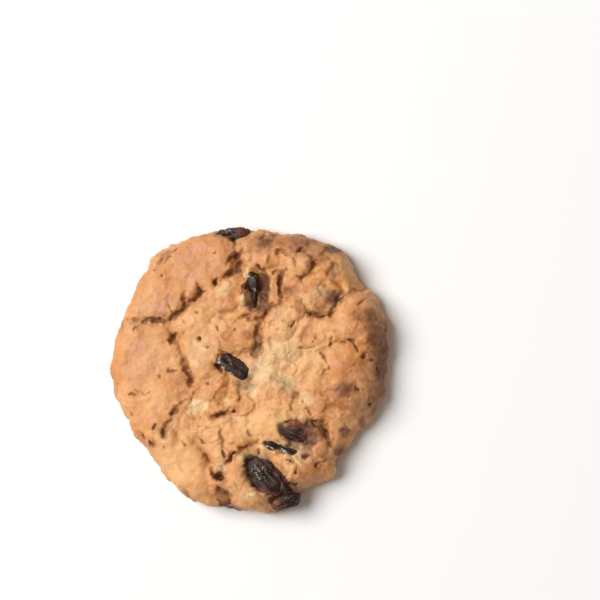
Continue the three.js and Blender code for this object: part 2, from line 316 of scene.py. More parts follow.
def smooth_noise(points, wave, seed=0.0):
    """Noise between about -1 and 1 at each point. The wave is the size of its hills."""
    start = Vector((seed, seed, seed))
    return np.array([noise.noise(Vector(point) / wave + start) for point in points])


def plan_noise(points, wave, seed=0.0):
    """Noise that is the same for all points over one plan place, however far they have been lifted."""
    return smooth_noise(points * np.array((1, 1, 0)), wave, seed)


def wandered(points, pushes):
    """Plan places pushed about by noise, so that no edge stays straight or truly round."""
    plan = points[:, :2] - PLAN_MIDDLE
    for wave, reach in pushes:
        push = np.stack([plan_noise(points, wave, seed) for seed in WANDER_SEEDS], axis=1)
        plan = plan + reach * push
    return plan


def oval_reach(plan, x, y, half_length, half_width, turn):
    """How far each plan place is from the middle of an oval, where 1 is the oval's edge."""
    angle = math.radians(turn)
    from_middle = plan - np.array((x, y))
    along = from_middle @ np.array((math.cos(angle), math.sin(angle))) / half_length
    across = from_middle @ np.array((-math.sin(angle), math.cos(angle))) / half_width
    return np.hypot(along, across)


def dome(plan, middle_x, middle_y, half_length, half_width, turn, height, power):
    """The height of one lump over each plan place: flat on top for a high power, round for a low one."""
    reach = oval_reach(plan, middle_x * MM, middle_y * MM, half_length * MM, half_width * MM, turn)
    return height * MM * (1 - np.minimum(reach, 1) ** power) ** DOME_EDGE


def each_lump(plan):
    """The height of every plate and knob on its own, one row for each."""
    plates = [dome(plan, *plate, PLATE_POWER) for plate in PLATES.values()]
    lumps = [dome(plan, x, y, LUMP_SPREAD * length, LUMP_SPREAD * width, turn, height, LUMP_POWER)
             for x, y, length, width, turn, height in LUMPS.values()]
    return np.array(plates + lumps)


def lump_height(heights):
    """All lumps at once. They run into each other by a smooth maximum."""
    return np.log1p(np.expm1(MERGE * heights).sum(axis=0)) / MERGE


def crease_share(points):
    """1 where two lumps are equally high and so meet, and 0 a short way off. Creases come and go."""
    second, first = np.sort(each_lump(wandered(points, WANDERS)), axis=0)[-2:]
    meeting = (1 - smooth_step(0, CREASE_WIDTH, first - second)) * smooth_step(*CREASE_HEIGHTS, second)
    return meeting * smooth_step(*CREASE_FADE, plan_noise(points, CREASE_WAVE, CREASE_SEED))


print("lumps:", len(PLATES), "plates of crust and", len(LUMPS), "knobs")

# %% [markdown]
# ## The tears
# As the crust sets before the middle has finished rising, it tears. A tear gapes in one place and nearly
# closes in the next, so each is a chain of points, and every point has its own half width. The wider the
# tear, the deeper it goes. A knife cut would be too clean, so noise frays the edges. The wide tears are
# cut first, and the hairlines later, on a fresh mesh. A few holes go with them, where dough has fallen
# in.

# %% Tears
# Each point of a tear is its x, its y and the half width there, in millimetres.
SEAMS = {
    "upper": ((-14.2, 26.2, 0.4), (-14, 24.5, 0.6), (-13.5, 22.8, 1.1), (-15, 21.3, 0.9), (-17.2, 20, 0.6),
              (-19.4, 18, 0.8), (-21.3, 16.8, 0.45), (-22.6, 15.3, 0.35)),
    "upper_wedge": ((-18.2, 23, 0.35), (-18.3, 21.3, 0.6), (-18.8, 19.3, 0.7), (-19.5, 18, 0.7)),
    "left": ((-36.2, 15.2, 0.35), (-33.2, 15, 0.5), (-31, 14.6, 0.4), (-29.5, 15, 0.5), (-27, 15.2, 0.9),
             (-25.5, 15.4, 0.9), (-24.7, 14, 0.5), (-23, 14.5, 0.35), (-21.5, 15.8, 0.4)),
    "pocket": ((-21.4, 11.2, 0.5), (-21.7, 9.8, 0.9), (-22.5, 8.8, 0.7), (-22.8, 7.5, 0.35)),
    "inner": ((-20.3, 6.3, 0.3), (-18.8, 4, 0.4), (-17.8, 2.2, 0.5), (-17.4, 0.7, 0.65), (-18.3, -0.3, 0.6),
              (-17.3, -1.2, 0.9), (-16.3, -2.4, 0.9), (-16.2, -3.8, 0.7), (-15.8, -5.5, 0.35),
              (-15.2, -7.5, 0.3)),
    "foot": ((-18, -8.7, 0.35), (-18.8, -9.3, 0.45), (-20.6, -10.8, 0.4), (-20.9, -12.4, 0.6),
             (-21.9, -13.6, 0.75), (-22.6, -15.6, 0.5), (-24.4, -17.5, 0.45), (-24.3, -19, 0.5),
             (-24.6, -20.6, 0.3)),
    "foot_end": ((-29.2, -20.8, 0.5), (-28.5, -22, 0.8), (-27.8, -23.2, 0.4)),
    "top_hollow": ((-5.8, 31.6, 0.4), (-3.2, 33.4, 0.6), (-1, 35.5, 0.5), (-1.2, 37.8, 0.3)),
    "top_ridge": ((-6.8, 27, 0.4), (-5, 28.3, 0.7), (-3.5, 29, 0.8), (-2, 29.8, 0.9), (-1.6, 32, 0.7)),
    "rim_raisin": ((-4.6, 41, 0.6), (-4, 39.5, 0.8), (-3, 38.2, 0.5)),
    "rim_raisin_end": ((-8.7, 40.4, 0.6), (-7.5, 41.5, 0.6)),
    "high_hole": ((-8.1, 26.9, 0.5), (-8.8, 25.8, 0.8), (-9.2, 24.8, 0.5)),
    "pit_arc": ((-1.9, 15.5, 0.45), (0.5, 15.7, 0.5), (1.8, 14.8, 0.5), (3.2, 14.4, 0.45), (5, 14.8, 0.7),
                (5.6, 15.9, 0.6), (6.6, 16.6, 0.7), (7.6, 17.7, 0.6), (10, 19, 0.5), (11.7, 20, 0.5)),
    "column": ((11.4, 20.6, 0.6), (11, 22, 0.6), (10.3, 24, 0.9), (10.4, 26.8, 0.8), (11.6, 28.4, 0.6),
               (10, 28.7, 0.5), (8.4, 28.2, 0.5)),
    "valley": ((5, 13.6, 0.6), (4.1, 11, 0.5), (3.4, 9, 0.4), (3.8, 7, 0.4), (3.4, 5.5, 0.4),
               (2.6, 4.2, 0.3)),
    "valley_spur": ((1.4, 5.6, 0.3), (0.2, 4.6, 0.5), (-0.4, 3.9, 0.3)),
    "lump_edge": ((18.5, 34.7, 0.3), (20, 32.6, 0.3), (20.8, 31, 0.7), (20.3, 29.6, 0.4), (18.5, 28.2, 0.45),
                  (17, 27.5, 0.5), (15.6, 27, 0.35)),
    "cover": ((18.8, 16.4, 0.4), (20.3, 15.8, 0.5), (23.5, 15.2, 0.5), (26.3, 15.8, 0.5), (27.2, 17.5, 0.5),
              (28.1, 20, 0.6), (28.8, 21.5, 0.4), (28.9, 23.2, 0.3)),
    "cover_spur": ((28.1, 20, 0.7), (30, 20.1, 0.35)),
    "shoulder": ((25.2, 28.2, 0.3), (26.8, 29.4, 0.5), (27, 31.3, 0.4)),
    "low_arc": ((20.4, -16, 0.6), (22.3, -16.6, 0.9), (24.3, -19, 0.9), (25.2, -21.5, 0.7),
                (25.3, -23.2, 0.5)),
    "low_arc_end": ((21.5, -15.6, 0.8), (23.6, -15.4, 0.6)),
    "bottom_hole": ((-9.8, -29.5, 0.45), (-9.6, -31, 0.7), (-8.5, -32.3, 0.8), (-6.8, -32.5, 1.0)),
    "bottom": ((-12.8, -23.4, 0.3), (-12, -24.7, 0.4), (-11.4, -26.2, 0.6), (-10.6, -27.6, 0.35)),
    "fork": ((-5.4, -28.6, 0.3), (-4.9, -27.4, 0.5), (-4.2, -26, 0.7), (-2.6, -25, 0.6), (-0.8, -24.2, 0.55),
             (-0.6, -23.1, 0.7), (0.6, -22.5, 0.4), (2.8, -22.2, 0.35), (3.8, -21.6, 0.4)),
    "scoop": ((-10.3, -14.2, 0.35), (-9, -14.1, 0.5), (-7.3, -13.5, 0.5), (-5, -12.8, 0.4), (-4, -12.8, 0.5),
              (-2.9, -12.4, 0.9)),
    "below_raisin": ((-3.6, -3.8, 0.3), (-2.5, -5.6, 0.3), (-1.5, -8.3, 0.5), (-2, -9.8, 0.5)),
    "right_pit": ((35.9, 4.4, 0.5), (35.5, 3, 0.8)),
    "hem": ((-8, -35.4, 0.5), (-6.6, -35.6, 0.4)),
    "large_side": ((7.4, -27.2, 0.4), (9, -29.4, 0.7), (10.8, -31.8, 1.0), (13, -34.6, 1.1)),
    "centre_side": ((-8.6, 1.2, 0.7), (-7.2, -0.2, 0.6), (-5.4, -1.6, 0.3)),
}
SEAM_STEEPNESS = 2.1
SEAM_DEEPEST = 1.7
SEAM_SPREAD = 0.95
TEAR_EDGE = (0.4, 1.15)
HOLE_EDGE = (0.35, 1)
FRAY_WAVE = 1.7 * MM
FRAY_SHARE = 0.7
FRAY_SEED = 70.5
# Middle x and y, radius and depth in millimetres.
HOLES = {
    "yellow": (-13.6, 8.7, 0.9, 1.5),
    "raisin_hollow_a": (3.9, 25.8, 4.6, 2.6),
    "raisin_hollow_b": (4.2, 20.5, 4.6, 2.4),
    "sliver_hollow": (16.5, -24.7, 3.0, 0.9),
    "oval": (19.8, 10.8, 2.6, 0.5),
    "valley": (3.8, 5.4, 2.8, 1.1),
    "bottom": (-7.4, -31.9, 2.0, 1.5),
    "flap": (19.6, -16.6, 2.2, 0.8),
}


def tear_depth(plan, tears, steepness, deepest, spread=1.0):
    """The depth of the deepest tear at each plan place. A spread over 1 reaches past the tears' lips."""
    depth = np.zeros(len(plan))
    for chain in tears.values():
        for (*start, first_width), (*end, last_width) in zip(chain[:-1], chain[1:]):
            start, step = np.array(start) * MM, np.subtract(end, start) * MM
            share = np.clip((plan - start) @ step / (step @ step), 0, 1)
            half_width = (first_width + (last_width - first_width) * share) * MM
            across = np.linalg.norm(plan - start - share[:, None] * step, axis=1) / (spread * half_width)
            deep = np.minimum(deepest * MM, steepness * half_width)
            depth = np.maximum(depth, deep * (1 - smooth_step(*TEAR_EDGE, across)))
    return depth


def hole_depth(plan, holes):
    """The depth of the deepest hole at each plan place."""
    depth = np.zeros(len(plan))
    for hole_x, hole_y, radius, deep in holes.values():
        reach = np.linalg.norm(plan - np.array((hole_x, hole_y)) * MM, axis=1) / (radius * MM)
        depth = np.maximum(depth, deep * MM * (1 - smooth_step(*HOLE_EDGE, reach)))
    return depth


def fray(points):
    """How much wider or narrower the tears are at each point than their list says."""
    return 1 + FRAY_SHARE * plan_noise(points, FRAY_WAVE, FRAY_SEED)


def seam_depth(points):
    """The depth of the frayed seams."""
    plan = wandered(points, RAGGEDNESS)
    return tear_depth(plan, SEAMS, SEAM_STEEPNESS, SEAM_DEEPEST, SEAM_SPREAD * fray(points))


print("tears:", len(SEAMS), "seams and", len(HOLES), "holes")

# %% [markdown]
# ## The pockets
# Most raisins lie flush with the crust, in a pocket that the dough baked round them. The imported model
# says where each raisin is. The list here says how large it is and how it lies, and how deep its pocket
# is. A Boolean cut would leave a sharp edge, so a pocket is relief too. Its mouth is ragged and a little
# smaller than the raisin, so the crust laps over the raisin's edge. Round some raisins the dough also
# rose in a low collar.

# %% Pockets
# Half length, half width and half thickness in millimetres, the turn and the tip about the length in
# degrees, and the depth of the pocket in millimetres.
RAISINS = {
    "raisin_pit": (6.0, 1.6, 1.8, 92, 0, 0.5),
    "raisin_centre": (5.5, 2.3, 2.1, -35, 0, 1.7),
    "raisin_lump": (4.6, 3.2, 2.5, -18, 0, 0.9),
    "raisin_sliver": (5.2, 1.2, 1.2, -16, 0, 0.7),
    "raisin_large": (6.9, 4.2, 2.8, -49, 0, 1.7),
    "raisin_edge": (4.6, 3.0, 2.6, 18, -35, 2.0),
    "raisin_rim": (4.3, 1.8, 1.7, 0, 40, 1.0),
    "raisin_hem": (3.4, 2.4, 2.3, 0, -35, 0.3),
}
POCKET_MOUTH = (0.86, 1.06)
COLLAR_RISE = (0.85, 1.05)
COLLAR_FALL = (1.1, 1.6)
COLLARED = ("raisin_pit", "raisin_sliver", "raisin_large")
COLLAR_HEIGHT = 0.8 * MM
COLLAR_WAVE = 3.0 * MM
COLLAR_SHARE = 0.65
COLLAR_CHANGE = 0.6
COLLAR_SEED = 60.5


def raisin_middle(node):
    """The middle of a packed raisin."""
    return np.mean([np.array(corner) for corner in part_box(node)], axis=0)


def raisin_reach(plan, node):
    """How far each plan place is from the middle of a raisin, where 1 is the raisin's edge."""
    half_length, half_width, _, turn, _, _ = RAISINS[node]
    x, y = raisin_middle(node)[:2] - PLAN_MIDDLE
    return oval_reach(plan, x, y, half_length * MM, half_width * MM, turn)


def pocket_depth(plan):
    """The depth of the raisins' pockets."""
    mouths = [deep * MM * (1 - smooth_step(*POCKET_MOUTH, raisin_reach(plan, node)))
              for node, (*_, deep) in RAISINS.items()]
    return np.max(mouths, axis=0)


def collar_height(plan):
    """The dough that rose round some raisins and hugs them."""
    reaches = [raisin_reach(plan, node) for node in COLLARED]
    collars = [smooth_step(*COLLAR_RISE, reach) * (1 - smooth_step(*COLLAR_FALL, reach))
               for reach in reaches]
    return COLLAR_HEIGHT * np.max(collars, axis=0)


print("pockets:", len(RAISINS))

# %% [markdown]
# ## The rim
# The rim of a drop cookie is never even: it bulges where a lump of dough ran out, and it has a notch
# where two lumps meet. More points in the outline could show this, but then the foot and the top would
# follow it. So each knob or notch is a soft push at its own angle, and only the side will feel it.

# %% Rim knobs
# Where a knob or a notch is: its angle and half width in degrees, and its push out in millimetres.
RIM_KNOBS = {
    "corner": (124, 6, 1.2),
    "upper_left": (144, 4, 0.6),
    "low_left": (230, 5, 0.7),
    "hem": (257, 5, 0.9),
    "sole": (279, 5, 0.7),
    "edge_notch": (295, 3, -0.9),
    "heel": (307, 5, 2.0),
    "heel_notch": (319, 4, -1.4),
}


def rim_push(plan):
    """How far the knobs and notches push the rim out."""
    angles = np.degrees(np.arctan2(plan[:, 1], plan[:, 0]))
    push = np.zeros(len(plan))
    for angle, half_width, reach in RIM_KNOBS.values():
        away = np.mod(angles - angle + 180, 360) - 180
        push = push + reach * MM * np.exp(-(away / half_width) ** 2)
    return push


print("rim:", len(RIM_KNOBS), "knobs and notches")

# %% [markdown]
# ## Raising the relief
# So far the lumps, tears and pockets are only lists. A Remesh modifier gives the round an even mesh, fine
# enough to hold them. Each point is then lifted by all the heights there and lowered by all the depths. A
# sculptor would do this with brushes. Here the sum becomes weights, and a Displace modifier moves the
# points.

# %% Raise the relief
SKIN_VOXEL = 0.36 * MM
FINE_VOXEL = 0.35 * MM
TOP_FADE = (GIRTH_HEIGHT, CROWN_HEIGHT - 1 * MM)
FOOT_FADE = (0.3 * MM, 2.5 * MM)
SWELL_SEED = 21
SKIN_SOFTENING = 0.4


def mesh_points(piece):
    """The places of a mesh's points, as rows of x, y and z."""
    places = np.empty(len(piece.data.vertices) * 3)
    piece.data.vertices.foreach_get("co", places)
    return places.reshape(-1, 3)


def use_modifier(piece, kind, **settings):
    """Adds a modifier with these settings to a piece and applies it."""
    bpy.ops.object.select_all(action="DESELECT")
    piece.select_set(True)
    bpy.context.view_layer.objects.active = piece
    modifier = piece.modifiers.new(kind.lower(), kind)
    for name, value in settings.items():
        setattr(modifier, name, value)
    bpy.ops.object.modifier_apply(modifier=modifier.name)


def lift(piece, amounts):
    """Moves each point of a piece along its normal by its own amount, by weights and Displace modifiers."""
    for sign in (1, -1):
        reach = np.clip(sign * amounts, 0, None)
        if reach.max() <= 0:
            continue
        group = piece.vertex_groups.new(name="lift")
        for index, weight in enumerate(reach / reach.max()):
            if weight > 0:
                group.add((index,), float(weight), "REPLACE")
        use_modifier(piece, "DISPLACE", strength=sign * float(reach.max()), mid_level=0.0,
                     direction="NORMAL", vertex_group="lift")
        piece.vertex_groups.remove(piece.vertex_groups["lift"])


def keep_mask(piece, name, values):
    """Stores a value from 0 to 1 for each point of a piece under a name."""
    mask = piece.data.attributes.new(name, "FLOAT", "POINT")
    mask.data.foreach_set("value", np.clip(values, 0, 1).astype(np.float32))


def top_share(points):
    """1 on the top, fading to 0 down the rim to the girth."""
    return smooth_step(*TOP_FADE, points[:, 2])


def above_foot(points):
    """0 on the underside and 1 from a little way up the side."""
    return smooth_step(*FOOT_FADE, points[:, 2])


use_modifier(dough, "REMESH", mode="VOXEL", voxel_size=SKIN_VOXEL)
points = mesh_points(dough)
swell = sum(height * smooth_noise(points, wave, SWELL_SEED) for wave, height in SWELLS)
ragged = wandered(points, RAGGEDNESS)
crown = -CROWN_DROP * (np.linalg.norm(points[:, :2], axis=1) / girth_radius(0.0)) ** 2
lumps = lump_height(each_lump(wandered(points, WANDERS))) - CREASE_DEPTH * crease_share(points)
uneven = COLLAR_SHARE + COLLAR_CHANGE * plan_noise(points, COLLAR_WAVE, COLLAR_SEED)
collars = collar_height(ragged) * uneven
relief = lumps + collars + swell + crown - seam_depth(points) - hole_depth(ragged, HOLES)
on_top = top_share(points)
rim = (1 - on_top) * rim_push(points[:, :2] - PLAN_MIDDLE)
lift(dough, relief * on_top + above_foot(points) * (rim - pocket_depth(ragged)))
use_modifier(dough, "REMESH", mode="VOXEL", voxel_size=FINE_VOXEL)
use_modifier(dough, "SMOOTH", factor=SKIN_SOFTENING, iterations=1)
print("relief:", len(dough.data.vertices), "points,", round(dough.dimensions.z / MM, 1), "mm thick")

# %% [markdown]
# ## The fine crust
# Close up, the crust is broken more finely. It sets in thin flakes, some a little higher than their
# neighbours, with a short ragged step from one to the next. Oats lie under it, hairline cracks run
# through it, and small pores dot it. A noise texture alone looks like clay, so each flake is a cell round
# its own seed, with its own height and tilt. Down the side the crust is plainly rough, and there noise is
# enough.

# %% Hairline cracks and pores
# Each point of a hairline is its x, its y and the half width there, in millimetres.
HAIRLINES = {
    "fold": ((-24.2, 22, 0.2), (-23, 18.6, 0.3), (-22, 17.2, 0.3)),
    "upper_end": ((-13.4, 23.2, 0.4), (-11.4, 23.6, 0.3)),
    "corner": ((-24.6, 31.8, 0.3), (-24, 33.4, 0.45), (-21.9, 33.8, 0.35)),
    "corner_rim": ((-22.2, 35.2, 0.4), (-21, 36.6, 0.3)),
    "corner_edge": ((-26.6, 32.6, 0.35), (-26.9, 31, 0.4), (-27.6, 29.9, 0.35)),
    "left_torn": ((-33.6, 12.2, 0.35), (-31.2, 12.8, 0.35)),
    "inner_side": ((-23, 0.6, 0.3), (-23, -0.8, 0.4), (-21.8, -0.6, 0.5), (-20.4, -0.4, 0.35)),
    "left_pit": ((-35.2, -7.3, 0.4), (-33.6, -7.2, 0.6)),
    "left_curl": ((-33.6, -5.8, 0.3), (-31.6, -6.2, 0.3), (-30, -7, 0.2), (-28.6, -6.5, 0.25)),
    "foot_side": ((-27.8, -17.6, 0.4), (-26.6, -16.3, 0.4)),
    "foot_spot": ((-31.6, -19.1, 0.3), (-31.2, -19.9, 0.5)),
    "left_spot": ((-35, -12.6, 0.3), (-35, -13.8, 0.35)),
    "lower_a": ((-18.6, -21.2, 0.25), (-17.7, -22.3, 0.4)),
    "lower_b": ((-14.5, -19.3, 0.25), (-12.6, -21.5, 0.4), (-11.9, -21.3, 0.2)),
    "low_split": ((1, -18.4, 0.25), (2.4, -20, 0.35)),
    "fork_side": ((-6.6, -24, 0.3), (-5.7, -25.4, 0.4)),
    "sliver_left": ((4, -23.4, 0.3), (4.2, -24.6, 0.5)),
    "sliver_wedge": ((18.2, -26, 0.7), (19.6, -25.7, 0.3)),
    "nub_slit": ((13, -27.2, 0.4), (14.2, -27.4, 0.45)),
    "nub_side": ((15.4, -29, 0.3), (15.9, -30.6, 0.4)),
    "nub_foot": ((13.4, -33.6, 0.4), (14.9, -34.2, 0.5)),
    "heel": ((21.2, -28.5, 0.5), (22.5, -27.7, 0.35), (23.5, -26.5, 0.25)),
    "top_thread": ((-1.5, 29, 0.3), (-0.2, 27, 0.2)),
    "above_pit": ((4.1, 30.6, 0.45), (5.6, 29.5, 0.45)),
    "beside_pit": ((-0.1, 25.2, 0.4), (-0.3, 23.4, 0.7), (-0.5, 22.6, 0.5)),
    "top_a": ((4.6, 38.8, 0.3), (5.4, 40.4, 0.4)),
    "top_b": ((7.2, 40.9, 0.3), (8, 40.5, 0.4)),
    "top_c": ((10, 35.2, 0.45), (11.4, 35, 0.4), (12.6, 33.8, 0.3), (14, 33.7, 0.3)),
    "top_d": ((12.9, 31.7, 0.25), (11.9, 30.7, 0.4), (12.4, 29.4, 0.4), (12.9, 28.5, 0.35)),
    "top_e": ((15.8, 40.3, 0.4), (17, 40.2, 0.45), (18.6, 40.3, 0.35)),
    "top_f": ((15.9, 35.1, 0.4), (17, 35.6, 0.55), (18.3, 36, 0.35)),
    "top_g": ((20.2, 39.8, 0.4), (21.4, 39.4, 0.3)),
    "rim_crease_a": ((32.6, 23.3, 0.25), (33.6, 23, 0.35), (34.8, 23.8, 0.3)),
    "rim_crease_b": ((33.9, 18.9, 0.25), (35, 19.8, 0.3), (36, 20.1, 0.2)),
    "right_a": ((26, 6.1, 0.3), (26.6, 7.7, 0.5), (27, 9, 0.3)),
    "right_b": ((28, 7.8, 0.25), (30.4, 7.7, 0.35)),
    "right_c": ((31.4, 8.1, 0.5), (33, 7.6, 0.45), (34.1, 6.3, 0.4), (34.5, 5.5, 0.45)),
    "right_rim": ((38.9, 0.5, 0.3), (39.2, -1.2, 0.5), (39.8, -3, 0.35)),
    "right_rim_low": ((40.2, -5.5, 0.3), (40.2, -8.2, 0.3)),
    "brown": ((33, -5.5, 0.3), (34.2, -6.5, 0.5)),
    "oval_side": ((21.9, 10, 0.3), (21.6, 8.5, 0.4), (20.7, 7.4, 0.3)),
    "oval_foot": ((17.3, 6.4, 0.4), (18.4, 5.4, 0.3), (20, 5.6, 0.25)),
    "pink_side": ((14.1, 12.3, 0.35), (15, 14, 0.25)),
    "plate_side": ((22.9, 4.4, 0.3), (24, 3, 0.35), (24.8, 1.5, 0.3), (25.3, 0.1, 0.4), (24.4, -1.4, 0.3)),
    "raisin_end": ((-8.5, 1.1, 0.5), (-6.9, -0.2, 0.5)),
    "raisin_back": ((-7.4, 5.6, 0.3), (-4.4, 4.1, 0.4)),
    "smooth_side": ((19, -12, 0.3), (20.2, -13.8, 0.4)),
}
HAIRLINE_STEEPNESS = 2.0
HAIRLINE_DEEPEST = 1.1
# Middle x and y, radius and depth in millimetres.
PORES = {
    "upper": (-8.8, 34.9, 0.7, 1.0),
    "orange": (-11.1, -4.2, 0.6, 0.8),
    "seam": (-14.4, 16.8, 0.9, 0.7),
    "middle_a": (-7.8, 12, 0.7, 0.8),
    "middle_b": (-2.6, 12, 0.6, 0.7),
    "beside_raisin": (-10.8, 6.2, 0.8, 0.7),
    "corner": (-26.7, 33.6, 0.7, 0.9),
    "upper_left": (-25.4, 28, 0.6, 0.7),
    "left": (-28.9, 3.2, 0.45, 0.5),
    "right": (37.8, 2.2, 0.8, 1.0),
    "right_low": (37.2, -10.5, 0.6, 0.7),
    "pale": (13.8, 1, 0.5, 0.6),
    "smooth_a": (13.2, -15.6, 0.7, 0.8),
    "smooth_b": (8, -13.4, 0.5, 0.5),
    "below_orange": (-7.5, -9.9, 0.6, 0.7),
    "above_middle": (-2.1, 18.7, 0.5, 0.6),
}
print("cracks:", len(HAIRLINES), "hairlines and", len(PORES), "pores")

# %% Flakes
# The spacing of the flakes, the most that one stands up or lies low, and the steepest tilt.
FLAKE_SIZES = ((6.0 * MM, 0.24 * MM, 0.08), (2.8 * MM, 0.11 * MM, 0.1))
FLAKE_STEP = 0.8 * MM
FLAKE_SPAN = 48 * MM
STEP_EDGE = (0.5, 1.5)
FLAKE_PUSHES = ((3.0 * MM, 1.3 * MM), (1.2 * MM, 0.5 * MM))
OAT_COUNT = 240
OAT_HEIGHTS = (0.25 * MM, 0.6 * MM)
OAT_LENGTHS = (1.4, 2.7)
OAT_WIDTHS = (0.6, 0.9)
OAT_EDGE = (0.25, 1.0)
PORE_COUNT = 16
PORE_RADII = (0.3, 0.55)
PORE_DEPTH = 1.5
CROWN_RADIUS = 38
GRAIN = ((5.0 * MM, 0.35 * MM), (2.2 * MM, 0.2 * MM), (0.9 * MM, 0.12 * MM))
GRAIN_SEED = 40
RIM_ROUGHNESS = ((5.0 * MM, 0.9 * MM), (2.2 * MM, 0.5 * MM))
RIM_SEED = 80
SMOOTH_CRUST = 0.35
PLATE_RISE = 1.5 * MM
DOUGH_SEED = 7


def scattered(draw, count):
    """Places on the crown, evenly strewn, in millimetres."""
    reach = CROWN_RADIUS * np.sqrt(draw.random(count))
    turn = draw.uniform(0, 2 * np.pi, count)
    return np.stack([reach * np.cos(turn), reach * np.sin(turn)], axis=1)


def flakes(plan, spacing, step, slope, draw):
    """The height of flakes round strewn seeds, and how much each place is on a step between two."""
    count = int((2 * FLAKE_SPAN / spacing) ** 2)
    seeds = draw.uniform(-FLAKE_SPAN, FLAKE_SPAN, (count, 2))
    heights = draw.uniform(-step, step, len(seeds))
    tilts = draw.uniform(-slope, slope, seeds.shape)
    tree = kdtree.KDTree(len(seeds))
    for index, seed in enumerate(seeds):
        tree.insert((*seed, 0), index)
    tree.balance()
    found = np.array([[(hit[1], hit[2]) for hit in tree.find_n((*place, 0), 2)] for place in plan])
    nearest, gap = found[:, :, 0].astype(int), found[:, 1, 1] - found[:, 0, 1]
    one, other = (heights[near] + np.einsum("ij,ij->i", plan - seeds[near], tilts[near])
                  for near in nearest.T)
    border = 1 - smooth_step(0, FLAKE_STEP, gap)
    least, most = (share * step for share in STEP_EDGE)
    return one + (other - one) * 0.5 * border, border * smooth_step(least, most, np.abs(other - one))


def oat_flakes(plan, draw):
    """Oats that lie just under the skin: flat ovals at all angles, each with one side in the dough."""
    relief = np.zeros(len(plan))
    for x, y in scattered(draw, OAT_COUNT) * MM:
        length = draw.uniform(*OAT_LENGTHS) * MM
        width = length * draw.uniform(*OAT_WIDTHS)
        height = draw.uniform(*OAT_HEIGHTS)
        reach = oval_reach(plan, x, y, length, width, draw.uniform(0, 180))
        uphill = draw.uniform(0, 2 * np.pi)
        slope = (plan - np.array((x, y))) @ np.array((math.cos(uphill), math.sin(uphill))) / length
        oat = height * (0.5 + 0.5 * slope) * (1 - smooth_step(*OAT_EDGE, reach))
        relief = np.maximum(relief, oat)
    return relief


def crust_smoothness(plan):
    """1 on the smooth plates and 0 on the knobs."""
    plates = np.max([dome(plan, *plate, PLATE_POWER) for plate in PLATES.values()], axis=0)
    return smooth_step(0, PLATE_RISE, plates)


def thin_depth(points):
    """The depth of the hairlines and pores."""
    plan = wandered(points, RAGGEDNESS)
    hairlines = tear_depth(plan, HAIRLINES, HAIRLINE_STEEPNESS, HAIRLINE_DEEPEST, fray(points))
    return hairlines + hole_depth(plan, PORES)


draw = np.random.default_rng(DOUGH_SEED)
for number, (x, y) in enumerate(scattered(draw, PORE_COUNT)):
    radius = draw.uniform(*PORE_RADII)
    PORES[f"strewn_{number}"] = (x, y, radius, PORE_DEPTH * radius)
points = mesh_points(dough)
plan = wandered(points, WANDERS)
# Creases between lumps, kept for painted shade.
keep_mask(dough, "crease", crease_share(points) * top_share(points))
ragged = wandered(points, FLAKE_PUSHES)
rough_share = 1 - (1 - SMOOTH_CRUST) * crust_smoothness(plan)
on_top = top_share(points)
grain = sum(height * smooth_noise(points, wave, GRAIN_SEED) for wave, height in GRAIN)
rim = sum(height * smooth_noise(points, wave, RIM_SEED) for wave, height in RIM_ROUGHNESS)
fine, step_mask = oat_flakes(ragged, draw), np.zeros(len(points))
for size in FLAKE_SIZES:
    height, steps = flakes(ragged, *size, draw)
    fine = fine + height
    step_mask = np.maximum(step_mask, steps)
# Steps between flakes, kept for painted shade.
keep_mask(dough, "step", step_mask * rough_share * on_top)
fine_relief = rough_share * fine + grain + (1 - on_top) * rim
lift(dough, above_foot(points) * fine_relief - on_top * thin_depth(points))
print("flakes: relief of", round(float(np.ptp(fine)) / MM, 2), "mm")

# %% [markdown]
# ## The underside
# Under the cookie is a flat face that lay on the tray. It needs few triangles, so a weighted Decimate
# thins the points near it and leaves the crust alone. A Remesh can't do this, as it is as fine below as
# above.

# %% Underside
DOUGH_TRIANGLES = 190000
THIN_BELOW = 1.2 * MM
UNDERSIDE_FIRST = 1000


def thin_underside(piece):
    """Takes triangles off the flat underside until the piece is light enough."""
    triangles = sum(len(face.vertices) - 2 for face in piece.data.polygons)
    group = piece.vertex_groups.new(name="underside")
    low = np.flatnonzero(mesh_points(piece)[:, 2] < THIN_BELOW)
    group.add([int(index) for index in low], 1.0, "REPLACE")
    use_modifier(piece, "DECIMATE", ratio=min(1, DOUGH_TRIANGLES / triangles),
                 use_collapse_triangulate=True,
                 vertex_group="underside", vertex_group_factor=UNDERSIDE_FIRST)
    piece.vertex_groups.remove(piece.vertex_groups["underside"])


thin_underside(dough)
print("underside thinned:", len(dough.data.polygons), "triangles left")

# %% [markdown]
# ## Where the crust browns, and where shade is painted
# Peaks and thin edges brown first in the oven, and hollows stay pale. To know which is which, a copy of
# the mesh is smoothed until the relief is gone: a point that lies under the smoothed skin is in a hollow,
# and one that stands over it is on a peak. A few passes find the fine crevices, kept for painted shade,
# and the fine ridges, kept for a painted highlight. Many passes find the broad hollows. Pale, golden,
# toasted and stained places were read and are listed as soft spots, which fade down the side. Some of
# the browned, toasted and stained spots, and most of the olive ones, are painted shade. All of it is kept
# on the mesh as named masks, which the material reads. An image would need an unwrapped mesh.

# %% Masks
SMOOTHING = 0.5
HOLLOW_PASSES = 140
HOLLOW_RANGE = (0.05 * MM, 0.9 * MM)
PEAK_RANGE = (0.05 * MM, 0.7 * MM)
CREVICE_PASSES = 8
CREVICE_RANGE = (0.02 * MM, 0.14 * MM)
THIN_CRACKS = (0.3 * MM, 0.9 * MM)
THIN_SHARE = 0.75
WIDE_CRACKS = (0.6 * MM, 1.5 * MM)
LIP_REACH = 2.4
LIP_STRENGTH = 2
SIDE_FADE = (1.6 * MM, 4.6 * MM)
LOW_FADE = (0.0, 3.0 * MM)
SPOT_EDGE = (0.35, 1.35)
